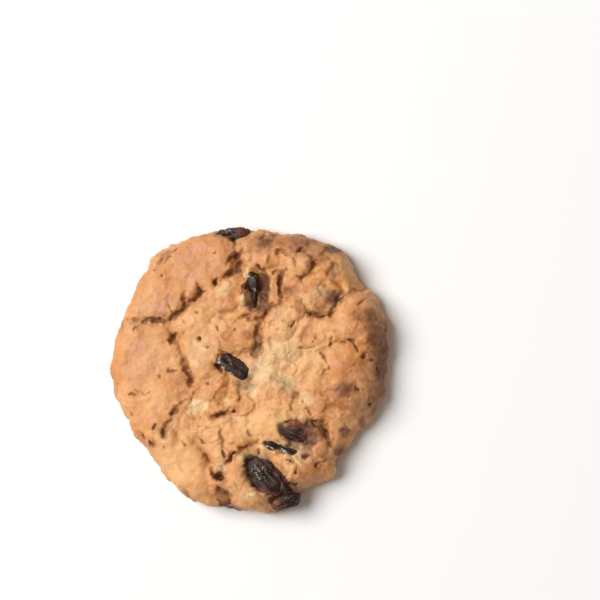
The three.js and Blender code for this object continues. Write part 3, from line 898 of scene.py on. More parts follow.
# Middle x and y, half length and half width in millimetres, turn in degrees and strength.
TINTS = {
    "pale": {
        "middle": (5.6, -0.5, 4, 5, 20, 1.0),
        "middle_low": (2, -6, 3, 3, 30, 0.9),
        "grey": (12, -3.5, 5, 3, -20, 0.8),
        "right": (18.5, -9, 3, 2, 0, 0.8),
        "scoop": (-14, -10.8, 4.2, 2.4, 10, 1.0),
        "scoop_end": (-5, -9.5, 1.5, 1.5, 0, 0.7),
        "foot": (-21.8, -16.5, 1.2, 1.6, 0, 0.8),
        "hole": (-7, -29.2, 2, 1.8, 0, 1.0),
        "sliver": (13.5, -23.6, 6, 2.2, -16, 1.0),
        "sliver_low": (15, -26.4, 3, 1.0, -10, 0.9),
        "sliver_end": (4.6, -22.8, 1.3, 1.6, 0, 0.8),
        "yellow": (-14, 5, 4.5, 6, 0, 0.4),
        "pit_top": (0.5, 28.6, 1.3, 1.2, 0, 0.8),
        "pit_foot": (-0.5, 19, 1.3, 2, 0, 0.7),
        # The cap of the covered raisin's bump: a painted highlight.
        "cover": (23, 22.2, 1.8, 1.6, 0, 0.7),
        "bottom": (1.5, -37.5, 2.5, 1.5, 0, 0.6),
        "pale_lumps": (11.6, 4.8, 7, 5, 0, 0.65),
        "high": (-6, 23.5, 3, 2, 20, 0.5),
        "valley": (-3, -14.6, 2.5, 1.2, 0, 0.6),
        "mid_right": (20, 3, 4, 3, 0, 0.4),
        "pit_side": (0, 21, 1.6, 2.6, 0, 0.8),
        "smooth_end": (11.5, -15.6, 3, 1.8, 0, 0.35),
        "fork": (0.4, -26, 2.4, 1.6, 0, 0.45),
    },
    "pink": {
        "upper": (-15.4, 33, 8, 7, 30, 0.9),
        "upper_left": (-27.5, 21.5, 6, 6, 0, 1.0),
        "left": (-32, 3, 7, 8, 0, 0.7),
        "knob": (11.5, 15.5, 5, 5, 0, 0.8),
        "middle": (-5, 8, 5, 4, 0, 0.5),
        "top": (14.5, 37, 4, 2.5, 0, 0.8),
        "crown": (4, 33, 4, 3, 0, 0.7),
        "lower": (-24, -27, 5, 4, -45, 0.6),
        "top_left": (-6, 35.5, 3, 2.5, 0, 0.8),
    },
    # Browned spots, partly real browning and partly painted shade. The spots along the right and left rims,
    # on the right plates and the bulge, at the top, on the pit's wall, along the column, the valley, the
    # scoop and the left seam, round the covered raisin and beside raisin_large are painted shade.
    "browned_and_shade": {
        "bulge": (36.8, 15.4, 4.8, 3.2, -10, 0.6),
        "bulge_low": (39.4, 9.5, 3.8, 6, 0, 0.7),
        "right_rim": (41.6, 2, 4.4, 17, 0, 0.75),
        "right_plate": (33, -1, 6, 5, 0, 0.35),
        "right_low": (27, -9, 6.5, 5.5, 0, 0.35),
        "right_rim_low": (38.5, -9, 3.5, 8, -15, 0.55),
        "brown": (30.6, -6.4, 4.8, 3.2, 0, 0.72),
        "brown_low": (33, -11, 6, 4, 0, 0.4),
        "heel": (29.4, -18.8, 2.2, 1.8, 0, 0.65),
        "heel_low": (27.8, -25.5, 1.9, 3.4, 0, 0.85),
        "heel_rim": (20, -35, 4, 2.5, 20, 0.4),
        "edge": (34.5, -16, 1.2, 3, -15, 0.6),
        "top_right": (26, 35.5, 4, 2, 0, 0.7),
        "shoulder": (26.8, 30.6, 1.6, 3, 0, 0.6),
        "top": (19, 36, 11, 5, -15, 0.5),
        "top_left": (6, 38, 8, 4, 0, 0.45),
        "pit_wall": (5.6, 23.5, 2.4, 6.4, 0, 1.0),
        "pit_low": (5, 18.6, 2.2, 2, 0, 0.7),
        "pit_left": (-0.2, 24.4, 0.8, 1.6, 0, 0.8),
        "column": (10.5, 24.5, 1.2, 4, 0, 0.7),
        "top_hollow": (-3, 33.2, 3.4, 2, 55, 0.55),
        "top_ridge": (-4, 28.5, 3, 1, 35, 0.5),
        "rim_raisin": (-5.5, 39, 4, 3, 0, 0.3),
        "middle": (1.5, 10, 2.5, 2, 0, 0.45),
        "scoop": (-8, -13.4, 2.6, 1.1, 15, 0.8),
        "flap": (20.4, -20.4, 3.0, 3.8, 0, 0.72),
        "sliver_end": (18.2, -25.4, 1.8, 0.9, 0, 0.95),
        "left_seam": (-26.5, 15, 3.2, 1.4, 0, 0.6),
        "left_seam_end": (-32.5, 14, 4, 1.4, 0, 0.4),
        "foot": (-24.5, -18, 1.6, 2, 0, 0.7),
        "foot_side": (-27.4, -17.6, 1.6, 1.6, 0, 0.45),
        "foot_end": (-28.5, -22, 1.5, 1.2, -45, 0.7),
        "corner": (-25.2, 34.4, 3.6, 2.6, 30, 0.55),
        "inner": (-19.5, -3.5, 2.4, 2, 0, 0.35),
        "hem": (-6.6, -36.2, 2.4, 1.2, 0, 0.8),
        "low_heel": (19, -30, 5, 4, 0, 0.2),
        "hole": (-7.7, -31.9, 2.6, 1.8, -15, 0.85),
        "valley": (4.3, 9.5, 1.5, 4.0, 8, 0.65),
        "low_rim": (-19, -36, 2.5, 1.5, -35, 0.4),
        "cover": (26.8, 20.4, 1.9, 3.2, 0, 0.7),
        "cover_side": (16.6, 18.6, 1.6, 2.8, 0, 0.5),
        "cover_top": (20, 23, 3, 3, 0, 0.35),
        "cover_right": (25.8, 21.2, 1.8, 2.8, 0, 0.6),
        "cover_foot": (23.5, 18, 3, 1.4, 0, 0.45),
        "yellow_hole": (-13.6, 8.7, 0.8, 0.6, -30, 0.8),
        "cover_low": (22, 16.6, 4.5, 1.8, 0, 0.55),
        "cover_left": (21.5, 24.5, 1.2, 2.2, 0, 0.35),
        "seam_end": (-22, 16, 2, 1.2, 30, 0.55),
        "left_rim": (-42.8, 2, 2.2, 20, 0, 0.25),
        "large_side": (11, -32.4, 4.6, 1.4, -55, 0.9),
        "streak": (14.2, 22.8, 3, 2, 0, 0.5),
        "pit_arc": (7, 17.8, 3.2, 1.7, 30, 0.75),
        "flap_top": (19.6, -16.6, 3, 2.8, 0, 0.85),
        "flap_low": (18.6, -23.2, 2.8, 3, 0, 0.65),
        "yellow_side": (-11, 7, 2.6, 2, 0, 0.3),
        "shoulder_foot": (26, 28.6, 2.6, 2.4, 0, 0.6),
        "left_rim_top": (-38.5, 14, 1.6, 4, 0, 0.4),
        "cover_all": (23, 21, 6, 6, 0, 0.3),
        "hem_patch": (-6.8, -37.4, 3.2, 2.4, 0, 0.6),
        "lump_edge": (19.6, 31.5, 2.2, 2.2, 0, 0.4),
    },
    "golden": {
        "lower": (-21, -27, 10, 7, -48, 0.9),
        "smooth": (6, -16.5, 9, 5.5, 0, 1.0),
        "pink": (11.6, 14, 5, 5, 0, 0.95),
        "right": (19, 0, 7, 6, 0, 0.6),
        "pale": (12, 5, 6, 5, 0, 0.9),
        "low": (-9, -18.5, 6, 4, 0, 0.7),
        "foot": (1, -37, 5, 3, 0, 0.6),
        "left_foot": (-27, -10, 6, 5, 0, 0.4),
        "nub": (12, -29, 4, 2.6, -42, 0.8),
        "top_a": (15.5, 31.5, 4, 3, 40, 0.4),
        "seam": (-15, 16, 5, 3, 10, 0.5),
        "cover": (19.5, 20, 2, 3, 0, 0.4),
        "high": (-6, 24, 4, 3, 20, 0.7),
        "seam_low": (-10, 14, 4, 3, 0, 0.7),
        "smooth_end": (12.2, -14, 4.5, 3.4, 0, 1.0),
        "flake": (-7.5, -26, 2.5, 3.5, 0, 0.8),
        "fork": (0.5, -25.6, 3.2, 2.4, 20, 1.0),
        "bottom_left": (-15, -36, 4, 3, -30, 0.6),
        "shoulder": (29.5, 29, 2.5, 5, 30, 0.7),
    },
    # Toasted spots. Those on the upper plate, along the left rim, on the right plates and on the bulge are
    # painted shade.
    "toasted_and_shade": {
        "upper": (-14, 33, 16, 9, 30, 0.45),
        "left_rim": (-41.5, 3, 3.5, 22, 0, 0.5),
        "upper_left_rim": (-35, 24.5, 3, 12, -35, 0.7),
        "lower_left_rim": (-33.5, -21, 3, 13, 33, 0.5),
        "orange": (-8.5, -5, 4, 4, 0, 0.6),
        "middle": (1, 9.5, 3.5, 3, 0, 1.0),
        "inner": (-20, -4.5, 4.5, 3.5, 0, 0.9),
        "high": (-4, 22, 3.5, 3, 0, 0.7),
        "streak": (13.5, 24, 3.5, 1.6, 0, 0.8),
        "top": (12, 37.5, 10, 3.5, 0, 0.8),
        "bulge": (34, 14, 4, 5, 0, 0.75),
        "corner": (-24, 31, 4, 3, 40, 0.5),
        "upper_edge": (-17, 24, 3, 3, 0, 0.5),
        "left_edge": (-26, 16.5, 4, 2, 0, 0.6),
        "left_foot": (-27, -15, 4, 3, 0, 0.5),
        "right": (31.5, -1, 6.5, 6.5, 0, 0.8),
        "low_right": (27, -10, 6, 6, 0, 0.9),
        "heel": (22, -27, 5, 5, 0, 0.4),
        "bottom": (-10, -36, 5, 3, -20, 0.5),
        "ridge": (-9, -11, 3.5, 1.8, 15, 0.8),
        "oval": (19.5, 9.5, 2.6, 3.4, 0, 0.7),
        "centre": (-5, 9.5, 4.5, 3.6, 0, 0.6),
        "top_low": (10, 32, 5, 3, 0, 0.5),
    },
    # Olive spots: mostly painted shade in hollows, in the valley and under and beside the raisins, with some
    # grey mottling.
    "olive_tone_and_shade": {
        "right": (15, -8, 1.4, 1.3, 0, 0.9),
        "foot": (-24.3, -20, 1.1, 1.1, 0, 0.8),
        "high": (-5.5, 17.2, 2.4, 0.8, 0, 0.5),
        "below_raisin": (-0.6, -4.6, 3.4, 1.8, -15, 0.95),
        "raisin_side": (1.2, -2.6, 1.6, 1.9, 0, 0.95),
        "grey": (12.2, -4.8, 3.2, 2.4, -38, 0.5),
        "valley": (3.8, 5.3, 1.9, 3.0, -15, 0.95),
        "arc": (21, -15.9, 2.6, 1.2, -10, 0.9),
        "sliver": (11.5, -22.7, 4.4, 1.8, -16, 0.8),
        "hole": (-7.3, -30.3, 2.0, 1.4, 0, 0.7),
        "top": (-2, 30.5, 1, 1.6, 0, 0.6),
        "pit": (5.2, 23.2, 1.6, 4.2, 0, 0.4),
        "raisin_end": (2.6, 0.2, 1.4, 2.4, 0, 0.45),
    },
    # Stains from the raisins. The spot beside raisin_large's right side and the one on the covered raisin's
    # right are painted shade.
    "purple": {
        "spot": (5.8, 37.5, 2.2, 1.5, 0, 0.55),
        "top_right": (26.5, 35.5, 1.6, 1.1, 0, 0.4),
        "cover": (25.4, 20.6, 3.0, 2.6, 0, 0.4),
        "heel": (29.3, -19, 1.3, 1.1, 0, 0.5),
        "heel_low": (27.8, -26, 1.1, 2, 0, 0.5),
        "lump": (15.6, -19.1, 5.0, 3.9, -28, 1.0),
        "lump_tail": (18.4, -21.8, 2.2, 1.8, -30, 0.9),
        "large": (5.4, -31.2, 8.2, 5.4, -49, 1.0),
        "large_side": (10.8, -32.4, 4.6, 1.2, -55, 1.0),
        "large_left": (1.6, -32.6, 3.6, 0.9, -52, 0.7),
        "large_top": (1.0, -27.9, 2.4, 1.8, 40, 1.0),
        "large_end": (10.8, -35.8, 2.6, 2.2, 0, 1.0),
        "lump_left": (11.4, -18.0, 1.4, 2.2, 0, 0.9),
        "edge": (11.6, -38.2, 6.2, 4.6, 18, 1.0),
        "hem": (-6.2, -41.4, 4.8, 1.3, 0, 1.0),
        "pit": (2.4, 18.4, 2.8, 2.8, 0, 0.6),
        "rim": (-5, 41.5, 6, 3, 0, 0.7),
        "low_rim": (-18.5, -37.5, 2.2, 0.7, -30, 0.5),
        "bottom": (8.5, -42, 2.6, 0.9, 0, 0.7),
    },
}


def hollows(piece, passes):
    """How far each point lies below the piece's smoothed skin, in metres. Peaks are negative."""
    bpy.ops.object.select_all(action="DESELECT")
    piece.select_set(True)
    bpy.context.view_layer.objects.active = piece
    bpy.ops.object.duplicate()
    smoothed = bpy.context.object
    use_modifier(smoothed, "SMOOTH", factor=SMOOTHING, iterations=passes)
    normals = np.array([point.normal for point in piece.data.vertices])
    depth = np.einsum("ij,ij->i", mesh_points(smoothed) - mesh_points(piece), normals)
    bpy.data.meshes.remove(smoothed.data)
    return depth


def spots(plan, listed):
    """Soft oval spots, each as strong as it says."""
    mask = np.zeros(len(plan))
    for x, y, half_length, half_width, turn, strength in listed.values():
        reach = oval_reach(plan, x * MM, y * MM, half_length * MM, half_width * MM, turn)
        mask = np.maximum(mask, strength * (1 - smooth_step(*SPOT_EDGE, reach)))
    return mask


points = mesh_points(dough)
plan = wandered(points, RAGGEDNESS)
broad = hollows(dough, HOLLOW_PASSES)
keep_mask(dough, "hollow", smooth_step(*HOLLOW_RANGE, broad))
keep_mask(dough, "peak", smooth_step(*PEAK_RANGE, -broad))
close = hollows(dough, CREVICE_PASSES)
# Fine crevices, kept for painted shade.
keep_mask(dough, "crevice", smooth_step(*CREVICE_RANGE, close))
# Fine ridges, kept for a painted highlight.
keep_mask(dough, "ridge", smooth_step(*CREVICE_RANGE, -close))
# The deep part of each tear, for a dark brown that is partly caramelised sugar and partly painted shade.
thin = smooth_step(*THIN_CRACKS, thin_depth(points))
wide = smooth_step(*WIDE_CRACKS, seam_depth(points))
keep_mask(dough, "crack", np.maximum(THIN_SHARE * thin, wide))
# Round the tears' lips, for brown that is partly browning and partly painted shade.
lips = np.max([tear_depth(plan, tears, 1, 1, LIP_REACH) for tears in (SEAMS, HAIRLINES)], axis=0)
keep_mask(dough, "lip", LIP_STRENGTH * lips / MM)
above_side = smooth_step(*SIDE_FADE, points[:, 2])
for tint, listed in TINTS.items():
    keep_mask(dough, tint, spots(plan, listed) * above_side)
keep_mask(dough, "low", 1 - smooth_step(*LOW_FADE, points[:, 2]))
print("masks:", len(dough.data.attributes), "attributes")
print("hollows as deep as", round(broad.max() / MM, 2), "mm")

# %% [markdown]
# ## Mixing a finish
# A finish is a handful of masks and colours put together. Written as nodes that is a long list, so two
# small classes let it be written as sums: a mask can be added, multiplied and turned over like a number,
# and every other node comes from one method. By hand, this would be the Shader Editor.

# %% Finish tools
class Mask:
    """One number that changes over a surface. A sum of masks adds Math nodes to the finish."""

    def __init__(self, finish, socket):
        self.finish = finish
        self.socket = socket

    def maths(self, operation, first, second):
        """A Math node on two masks, or on a mask and a number."""
        return self.finish.node("ShaderNodeMath", {"operation": operation}, {0: first, 1: second})

    def __add__(self, other):
        return self.maths("ADD", self, other)

    def __sub__(self, other):
        return self.maths("SUBTRACT", self, other)

    def __rsub__(self, other):
        return self.maths("SUBTRACT", other, self)

    def __mul__(self, other):
        return self.maths("MULTIPLY", self, other)

    __radd__ = __add__
    __rmul__ = __mul__


class Finish:
    """A material under construction."""

    def __init__(self, name):
        self.material = bpy.data.materials.new(name)
        self.material.use_nodes = True
        self.tree = self.material.node_tree
        self.shader = self.tree.nodes["Principled BSDF"]

    def node(self, kind, settings, inputs, output=0):
        """Adds a node, sets it up, links or sets its inputs, and returns one output as a mask."""
        made = self.tree.nodes.new(kind)
        for name, value in settings.items():
            setattr(made, name, value)
        for name, value in inputs.items():
            self.feed(made.inputs[name], value)
        return Mask(self, made.outputs[output])

    def feed(self, socket, value):
        """Links a mask to a socket, or sets a plain value on it."""
        if isinstance(value, Mask):
            self.tree.links.new(value.socket, socket)
        else:
            socket.default_value = value

    def surface(self, **values):
        """Feeds the shader's own sockets, named with _ for a space."""
        for name, value in values.items():
            self.feed(self.shader.inputs[name.replace("_", " ")], value)

    def place(self):
        """The place of each point in the piece's own frame."""
        return self.node("ShaderNodeTexCoord", {}, {}, "Object")

    def mask(self, name):
        """A mask that is kept on the mesh."""
        return self.node("ShaderNodeAttribute", {"attribute_name": name}, {}, "Fac")

    def noise(self, wave, detail=4.0, roughness=0.55, distortion=0.0):
        """Noise from 0 to 1 on the piece's own place, with hills about as wide as the wave."""
        inputs = {"Vector": self.place(), "Scale": 1 / wave, "Detail": detail}
        inputs.update({"Roughness": roughness, "Distortion": distortion})
        return self.node("ShaderNodeTexNoise", {}, inputs, "Fac")

    def dots(self, spacing):
        """The distance to the nearest of many strewn dots, as a share of their spacing."""
        inputs = {"Vector": self.place(), "Scale": 1 / spacing}
        return self.node("ShaderNodeTexVoronoi", {}, inputs, "Distance")

    def between(self, value, low, high):
        """0 below low, 1 above high, and a smooth rise between."""
        settings = {"interpolation_type": "SMOOTHSTEP", "clamp": True}
        inputs = {"Value": value, "From Min": low, "From Max": high}
        return self.node("ShaderNodeMapRange", settings, inputs)

    def mix(self, share, first, second, blend="MIX"):
        """A colour between two colours."""
        settings = {"data_type": "RGBA", "blend_type": blend, "clamp_factor": True}
        return self.node("ShaderNodeMix", settings, {"Factor": share, 6: first, 7: second}, 2)

    def bump(self, height, distance, strength):
        """A normal tilted by a height that is too fine for the mesh."""
        inputs = {"Height": height, "Distance": distance, "Strength": strength}
        return self.node("ShaderNodeBump", {}, inputs)


def paint(red, green, blue):
    """A colour as a paint chart gives it, 0 to 255, as the linear values that a shader takes."""
    parts = [part / 255 for part in (red, green, blue)]
    return (*(p / 12.92 if p <= 0.04045 else ((p + 0.055) / 1.055) ** 2.4 for p in parts), 1.0)


print("finish tools ready")

# %% [markdown]
# ## The baked crust
# The crust is golden tan, with pinkish plates where it set smooth, brown where it stands up to the heat,
# and cream where the crumb shows. Cracks are dark with caramelised sugar, and their dark brown is partly
# painted shade. Fine crevices, flake steps and creases are darkened with painted shade, and the lips of
# tears with brown that is partly browning and partly painted shade. Olive, mostly painted shade, lies in
# hollows and under raisins. Fine ridges and the cap of the covered raisin's bump carry a painted highlight.
# Some of the brown, toasted and raisin-stained spots are painted shade as well. The fat in the crust
# gives a soft, broad sheen. A sheen pales what is under it, so at the end all colours are made a little
# deeper. One flat colour with noise would look like clay, so the colours go on in thin layers, each where
# its mask says, and most of them flecked.

# %% Dough finish
TAN = paint(218, 162, 119)
TAN_DEEP = paint(210, 145, 86)
TAN_PINK = paint(211, 155, 132)
TAN_YELLOW = paint(224, 174, 120)
GOLDEN = paint(234, 187, 135)
TOASTED_AND_SHADE = paint(192, 117, 56)
CRUMB_AND_HIGHLIGHT = paint(229, 205, 168)
BROWN_AND_SHADE = paint(104, 58, 28)
LIP_BROWN_AND_SHADE = paint(154, 92, 42)
OLIVE_TONE_AND_SHADE = paint(108, 80, 48)
CRACK_BROWN_AND_SHADE = paint(106, 59, 27)
RAISIN_STAIN_AND_SHADE = paint(62, 38, 41)
UNDER_BROWN = paint(168, 110, 62)
UNDER_SHEEN = (0.975, 0.945, 0.875, 1.0)
CRUST_ROUGHNESS = 0.6
CRUST_GLOSS = 0.5
CRUMB_GLOW = 0.25
GLOW_DEPTH = 1.0 * MM
GLOW_SHARES = (1.0, 0.4, 0.18)


def make_dough_finish():
    """The crust's material, in layers from the tan ground up."""
    finish = Finish("baked_dough")
    mottle = finish.noise(7 * MM)
    fleck = finish.noise(1.8 * MM, detail=6.0, roughness=0.65)
    warm = finish.noise(4.5 * MM, detail=3.0, distortion=0.6)
    speck = finish.noise(1.1 * MM, detail=5.0, roughness=0.7)
    colour = finish.mix(finish.between(mottle, 0.38, 0.66), TAN, TAN_DEEP)
    colour = finish.mix(finish.between(warm, 0.45, 0.7) * 0.7, colour, TAN_YELLOW)
    colour = finish.mix(finish.between(fleck, 0.48, 0.72) * 0.6, colour, TAN_DEEP)
    colour = finish.mix(finish.mask("pink") * finish.between(warm, 0.65, 0.35), colour, TAN_PINK)
    colour = finish.mix(finish.mask("golden") * 0.75, colour, GOLDEN)
    # Toasted tone, and painted shade on the upper plate, the rims and the right plates.
    colour = finish.mix(finish.mask("toasted_and_shade") * finish.between(warm, 0.25, 0.6) * 0.8, colour, TOASTED_AND_SHADE)
    bare = finish.mask("pale") * (finish.between(fleck, 0.7, 0.35) * 0.4 + 0.6)
    colour = finish.mix(finish.mask("hollow") * 0.15 + bare, colour, CRUMB_AND_HIGHLIGHT)
    colour = finish.mix(finish.mask("peak") * finish.between(fleck, 0.4, 0.75) * 0.35, colour, TOASTED_AND_SHADE)
    colour = finish.mix(finish.between(speck, 0.52, 0.72) * 0.45, colour, CRUMB_AND_HIGHLIGHT)
    colour = finish.mix(finish.between(speck, 0.45, 0.28) * 0.4, colour, TOASTED_AND_SHADE)
    # Painted highlight on fine ridges.
    colour = finish.mix(finish.mask("ridge") * 0.35, colour, CRUMB_AND_HIGHLIGHT)
    # Painted shade in fine crevices, at flake steps and along creases; round the tears' lips the brown is
    # partly browning and partly painted shade.
    colour = finish.mix(finish.mask("crevice") * 0.28, colour, LIP_BROWN_AND_SHADE)
    colour = finish.mix(finish.mask("step") * finish.between(fleck, 0.35, 0.6) * 0.25, colour, LIP_BROWN_AND_SHADE)
    colour = finish.mix(finish.mask("crease") * finish.between(fleck, 0.3, 0.55) * 0.2, colour, LIP_BROWN_AND_SHADE)
    colour = finish.mix(finish.mask("lip") * finish.between(fleck, 0.25, 0.6) * 0.6, colour, LIP_BROWN_AND_SHADE)
    # Brown, partly real browning and partly painted shade.
    browned_and_shade = finish.between(finish.mask("browned_and_shade") * 1.1 + fleck * 0.8, 0.45, 1.45)
    colour = finish.mix(browned_and_shade * finish.between(finish.mask("browned_and_shade"), 0, 0.2), colour, BROWN_AND_SHADE)
    flecked = finish.between(fleck, 0.35, 0.6)
    # Dark brown in the cracks: partly caramelised sugar, partly painted shade.
    caramel_and_shade = finish.mask("crack") * (1 - finish.mask("pale") * 0.6) * (flecked * 0.4 + 0.48)
    colour = finish.mix(caramel_and_shade, colour, CRACK_BROWN_AND_SHADE)
    # Olive, mostly painted shade in hollows and under raisins.
    colour = finish.mix(finish.mask("olive_tone_and_shade") * (flecked * 0.5 + 0.45), colour, OLIVE_TONE_AND_SHADE)
    # Raisin stains, with painted shade beside raisin_large and on the covered raisin.
    stain_and_shade = finish.mask("purple") * finish.between(fleck, 0.2, 0.5) * 0.95
    colour = finish.mix(stain_and_shade, colour, RAISIN_STAIN_AND_SHADE)
    colour = finish.mix(finish.mask("low") * 0.7, colour, UNDER_BROWN)
    colour = finish.mix(1.0, colour, UNDER_SHEEN, "MULTIPLY")
    crumb_bump = finish.bump(finish.noise(0.9 * MM, detail=5.0, roughness=0.65), 0.2 * MM, 0.5)
    finish.surface(Base_Color=colour, Roughness=CRUST_ROUGHNESS, Normal=crumb_bump)
    finish.surface(Specular_IOR_Level=CRUST_GLOSS, Subsurface_Weight=CRUMB_GLOW)
    finish.surface(Subsurface_Radius=GLOW_SHARES, Subsurface_Scale=GLOW_DEPTH)
    return finish.material


dough.data.materials.clear()
dough.data.materials.append(make_dough_finish())
print("dough finish mixed")

# %% [markdown]
# ## The raisins
# A raisin is a dried grape: a flattened oval whose skin has shrunk into folds that run mostly lengthwise.
# Each starts as a ball that a Cast modifier makes more or less blunt. It is drawn out to the raisin's
# length, dented and wrinkled by weights, turned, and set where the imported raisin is. One has a waist, and
# one is sunk until only a patch of it shows. Copies of one raisin would show, so each is made on its own,
# with its own wrinkles.

# %% Raisin shapes
BALL_SUBDIVISIONS = 6
RAISIN_SWELL = (1.05, 1.1, 1.0)
BLUNTNESS = {"raisin_centre": 0.45, "raisin_edge": 0.05}
USUAL_BLUNTNESS = 0.2
FOLDS = (1.9 * MM, 0.9 * MM)
FOLD_STRETCH = np.array((0.22, 1.0, 1.0))
WRINKLES = (1.0 * MM, 0.2 * MM)
FOLD_LEVEL = 0.22
FOLD_RANGE = (0.02 * MM, -0.25 * MM)
DENTS = (3.6 * MM, 1.2 * MM)
DENT_SEED = 50
SEED_STEP = 3.7
SMOOTHER = {"raisin_edge": 0.35, "raisin_centre": 0.3, "raisin_large": 0.6}
WAISTS = {"raisin_pit": (-0.1, 0.3, 0.45)}
SUNK = {"raisin_hem": 0.6}


def wrinkle_height(points, seed):
    """Long rounded folds with sharp creases between them, and finer wrinkles over them."""
    layers = ((points * FOLD_STRETCH, *FOLDS), (points, *WRINKLES))
    return sum(height * (np.abs(smooth_noise(places, wave, seed)) - FOLD_LEVEL)
               for places, wave, height in layers)


def make_raisin(node, half_sizes, turn, tip, seed):
    """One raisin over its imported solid."""
    bpy.ops.object.select_all(action="DESELECT")
    bpy.ops.mesh.primitive_ico_sphere_add(subdivisions=BALL_SUBDIVISIONS, radius=1)
    raisin = bpy.context.object
    raisin.name = node + "_skin"
    use_modifier(raisin, "CAST", cast_type="CUBOID", factor=BLUNTNESS.get(node, USUAL_BLUNTNESS))
    raisin.scale = 2 * MM * np.multiply(half_sizes, RAISIN_SWELL) / np.array(raisin.dimensions)
    bpy.ops.object.transform_apply(location=False, rotation=False, scale=True)
    points = mesh_points(raisin)
    if node in WAISTS:
        place, spread, depth = WAISTS[node]
        along = points[:, 0] / points[:, 0].max()
        lift(raisin, -depth * half_sizes[1] * MM * np.exp(-((along - place) / spread) ** 2))
        points = mesh_points(raisin)
    wave, height = DENTS
    wrinkles = wrinkle_height(points, seed)
    dents = SMOOTHER.get(node, 1) * height * smooth_noise(points, wave, seed + DENT_SEED)
    lift(raisin, wrinkles + dents)
    # The creases between folds, kept for painted shade.
    keep_mask(raisin, "fold", smooth_step(*FOLD_RANGE, wrinkles))
    raisin.rotation_euler = (math.radians(tip), 0, math.radians(turn))
    raisin.location = raisin_middle(node) - np.array((0, 0, SUNK.get(node, 0) * MM))
    bpy.ops.object.transform_apply(location=True, rotation=True, scale=True)
    bpy.ops.object.shade_smooth()
    return raisin


raisins = {}
for seed, (node, (*half_sizes, turn, tip, _)) in enumerate(RAISINS.items()):
    raisins[node] = make_raisin(node, half_sizes, turn, tip, seed * SEED_STEP)
print("raisins:", len(raisins), "of", len(raisins["raisin_pit"].data.polygons), "triangles each")

# %% [markdown]
# ## What clings to the raisins
# A thin film of dough is left on a raisin where it touches the crust, so the mask for it comes from the
# distance to the dough. It could be painted, but this way it follows every pocket. Pale specks are partly
# dried sugar and partly painted glints and highlights. Red is partly the skin's own, where a fold was
# stretched, and partly a painted reflection along raisin_large's right edge and lower fold. Some dough is
# smeared on top. These are spots again.

# %% Raisin masks
FILM_FADE = (0.1 * MM, 0.9 * MM)
RAISIN_TINTS = {
    # Red skin. Along raisin_large's right edge and lower fold the red is a painted reflection.
    "red": {
        "large_fold": (6.5, -36.4, 4.2, 1.0, -12, 1.0),
        "pit_end": (2.2, 18.4, 1.7, 1.7, 0, 0.8),
        "lump": (15, -16.4, 4, 1.6, 0, 0.8),
        "lump_right": (18.6, -19.5, 1.4, 2.6, 0, 0.8),
        "large_right": (9, -29.5, 4.5, 0.8, -52, 0.7),
        "hem": (-6.8, -37.8, 4.5, 3.5, 0, 1.0),
        "rim": (-1, 42, 2.5, 2, 0, 0.6),
    },
    # Pale specks: partly dried sugar, partly painted glints and highlights, as on raisin_centre's lit end
    # and edge and along raisin_sliver and raisin_pit.
    "sugar_and_glint": {
        "centre_end": (-7.7, 3.0, 0.9, 2.2, -20, 0.9),
        "centre_edge": (-5.2, -0.6, 3.6, 0.6, -40, 0.95),
        "centre_top": (-3.4, 1.0, 3, 0.5, -38, 0.6),
        "sliver_a": (6.6, -22.7, 1.2, 0.45, -14, 0.95),
        "sliver_b": (8.5, -23.5, 1.3, 0.5, -30, 0.95),
        "sliver_c": (10.6, -23.9, 1.1, 0.45, 10, 0.95),
        "sliver_d": (12.3, -24.6, 1.4, 0.5, -20, 0.95),
        "large": (4.4, -30.4, 4.8, 3.4, -48, 0.6),
        "edge": (13, -37.8, 3.6, 2.4, 0, 0.42),
        "pit_glint": (3.1, 23.8, 0.7, 1.1, 0, 1.0),
        "pit_top": (0.7, 28.2, 1.3, 1.1, 0, 0.9),
        "pit_upper": (2.8, 27, 1.8, 1.6, 0, 0.6),
        "rim": (-5, 41.8, 4, 1.8, 0, 0.6),
    },
    "smear": {
        "lump_top": (15, -15.4, 4.5, 1.2, 0, 0.7),
        "lump_right": (19.2, -20, 1.0, 2.5, 0, 0.7),
        "hem": (-6.4, -37.2, 4, 2.6, 0, 0.9),
        "large_left": (-0.5, -30, 1.2, 3, -20, 0.5),
        "edge_left": (8.6, -40, 1.5, 2.4, -20, 0.5),
    },
}


def film(piece, crust):
    """1 where a piece touches the crust, fading out over a short way."""
    gaps = [(crust.closest_point_on_mesh(point.co)[1] - point.co).length for point in piece.data.vertices]
    return 1 - smooth_step(*FILM_FADE, np.array(gaps))


for raisin in raisins.values():
    points = mesh_points(raisin)
    plan = wandered(points, RAGGEDNESS)
    keep_mask(raisin, "film", film(raisin, dough))
    for tint, listed in RAISIN_TINTS.items():
        keep_mask(raisin, tint, spots(plan, listed))
print("raisin masks kept")

# %% [markdown]
# ## Raisin skin
# The skin is nearly black, with a purple cast in patches, and it has a soft shine where no dough clings to
# it. The creases between its folds are darkened with painted shade. Its pale specks are partly crystals of
# sugar and partly painted glints and highlights. Crystals could be strewn as small pieces, but they are
# finer than the mesh, so the specks are dots of a Voronoi texture, broken up by noise.

# %% Raisin finish
SKIN_BLACK = paint(42, 27, 25)
SKIN_PURPLE = paint(70, 45, 44)
SKIN_FOLD_SHADE = paint(26, 15, 14)
SKIN_RED = paint(120, 68, 54)
SUGAR_AND_GLINT = paint(214, 206, 198)
FILM_BROWN = paint(104, 62, 44)
FILM_TAN = paint(176, 112, 70)
SKIN_GLOSS = 0.25


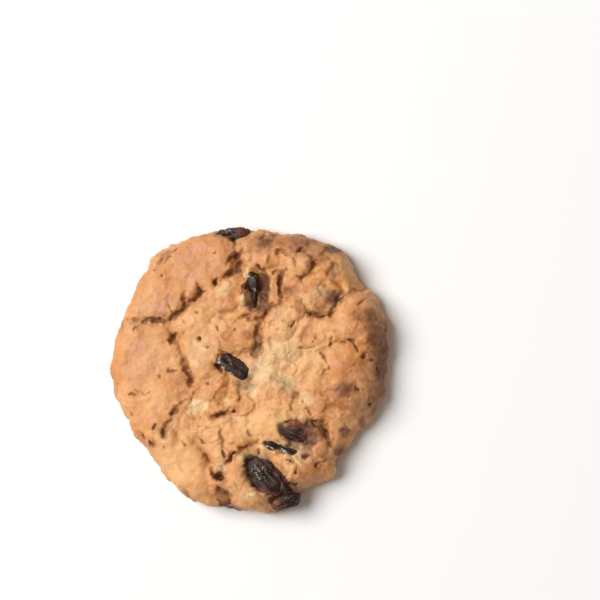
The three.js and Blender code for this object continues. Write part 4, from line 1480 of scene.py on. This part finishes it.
def make_raisin_finish():
    """The raisins' material: the skin, then the sugar and painted glints, then the dough that clings."""
    finish = Finish("raisin_skin")
    patch = finish.noise(3 * MM)
    speck = finish.noise(0.9 * MM, detail=4.0, roughness=0.6)
    sparkle = finish.between(finish.dots(0.6 * MM), 0.6, 0.1)
    colour = finish.mix(finish.between(patch, 0.4, 0.7), SKIN_BLACK, SKIN_PURPLE)
    # Painted shade in the creases between folds.
    colour = finish.mix(finish.mask("fold") * 0.7, colour, SKIN_FOLD_SHADE)
    # Red skin, with a painted reflection on raisin_large.
    colour = finish.mix(finish.mask("red") * 0.85, colour, SKIN_RED)
    # Pale specks: sugar and painted glints.
    crystals_and_glints = finish.between(finish.mask("sugar_and_glint") * 1.3 + sparkle * 0.45 + speck * 1.6, 1.6, 2.5)
    colour = finish.mix(crystals_and_glints * finish.between(finish.mask("sugar_and_glint"), 0.05, 0.3) * 0.85, colour, SUGAR_AND_GLINT)
    clinging = finish.between(finish.mask("film") * 0.5 + finish.mask("smear") + speck * 0.5, 0.5, 1.0)
    colour = finish.mix(clinging * 0.9, colour, FILM_BROWN)
    colour = finish.mix(finish.mask("smear") * finish.between(speck, 0.35, 0.55) * 0.75, colour, FILM_TAN)
    dullness = clinging * 0.3 + finish.between(patch, 0.3, 0.8) * 0.2 + 0.4
    skin_bump = finish.bump(finish.noise(0.7 * MM, detail=3.0), 0.1 * MM, 0.6)
    finish.surface(Base_Color=colour, Roughness=dullness, Normal=skin_bump)
    finish.surface(Specular_IOR_Level=SKIN_GLOSS)
    return finish.material


raisin_skin = make_raisin_finish()
for raisin in raisins.values():
    raisin.data.materials.append(raisin_skin)
print("raisin finish mixed")

# %% [markdown]
# ## Handing over
# Every piece stands for its imported node and rides on the one body.

# %% Finish
bpy.ops.object.select_all(action="DESELECT")
dough.select_set(True)
bpy.context.view_layer.objects.active = dough
bpy.ops.object.shade_smooth()
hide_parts("dough")
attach(dough, "root")
for node, raisin in raisins.items():
    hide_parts(node)
    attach(raisin, "root")
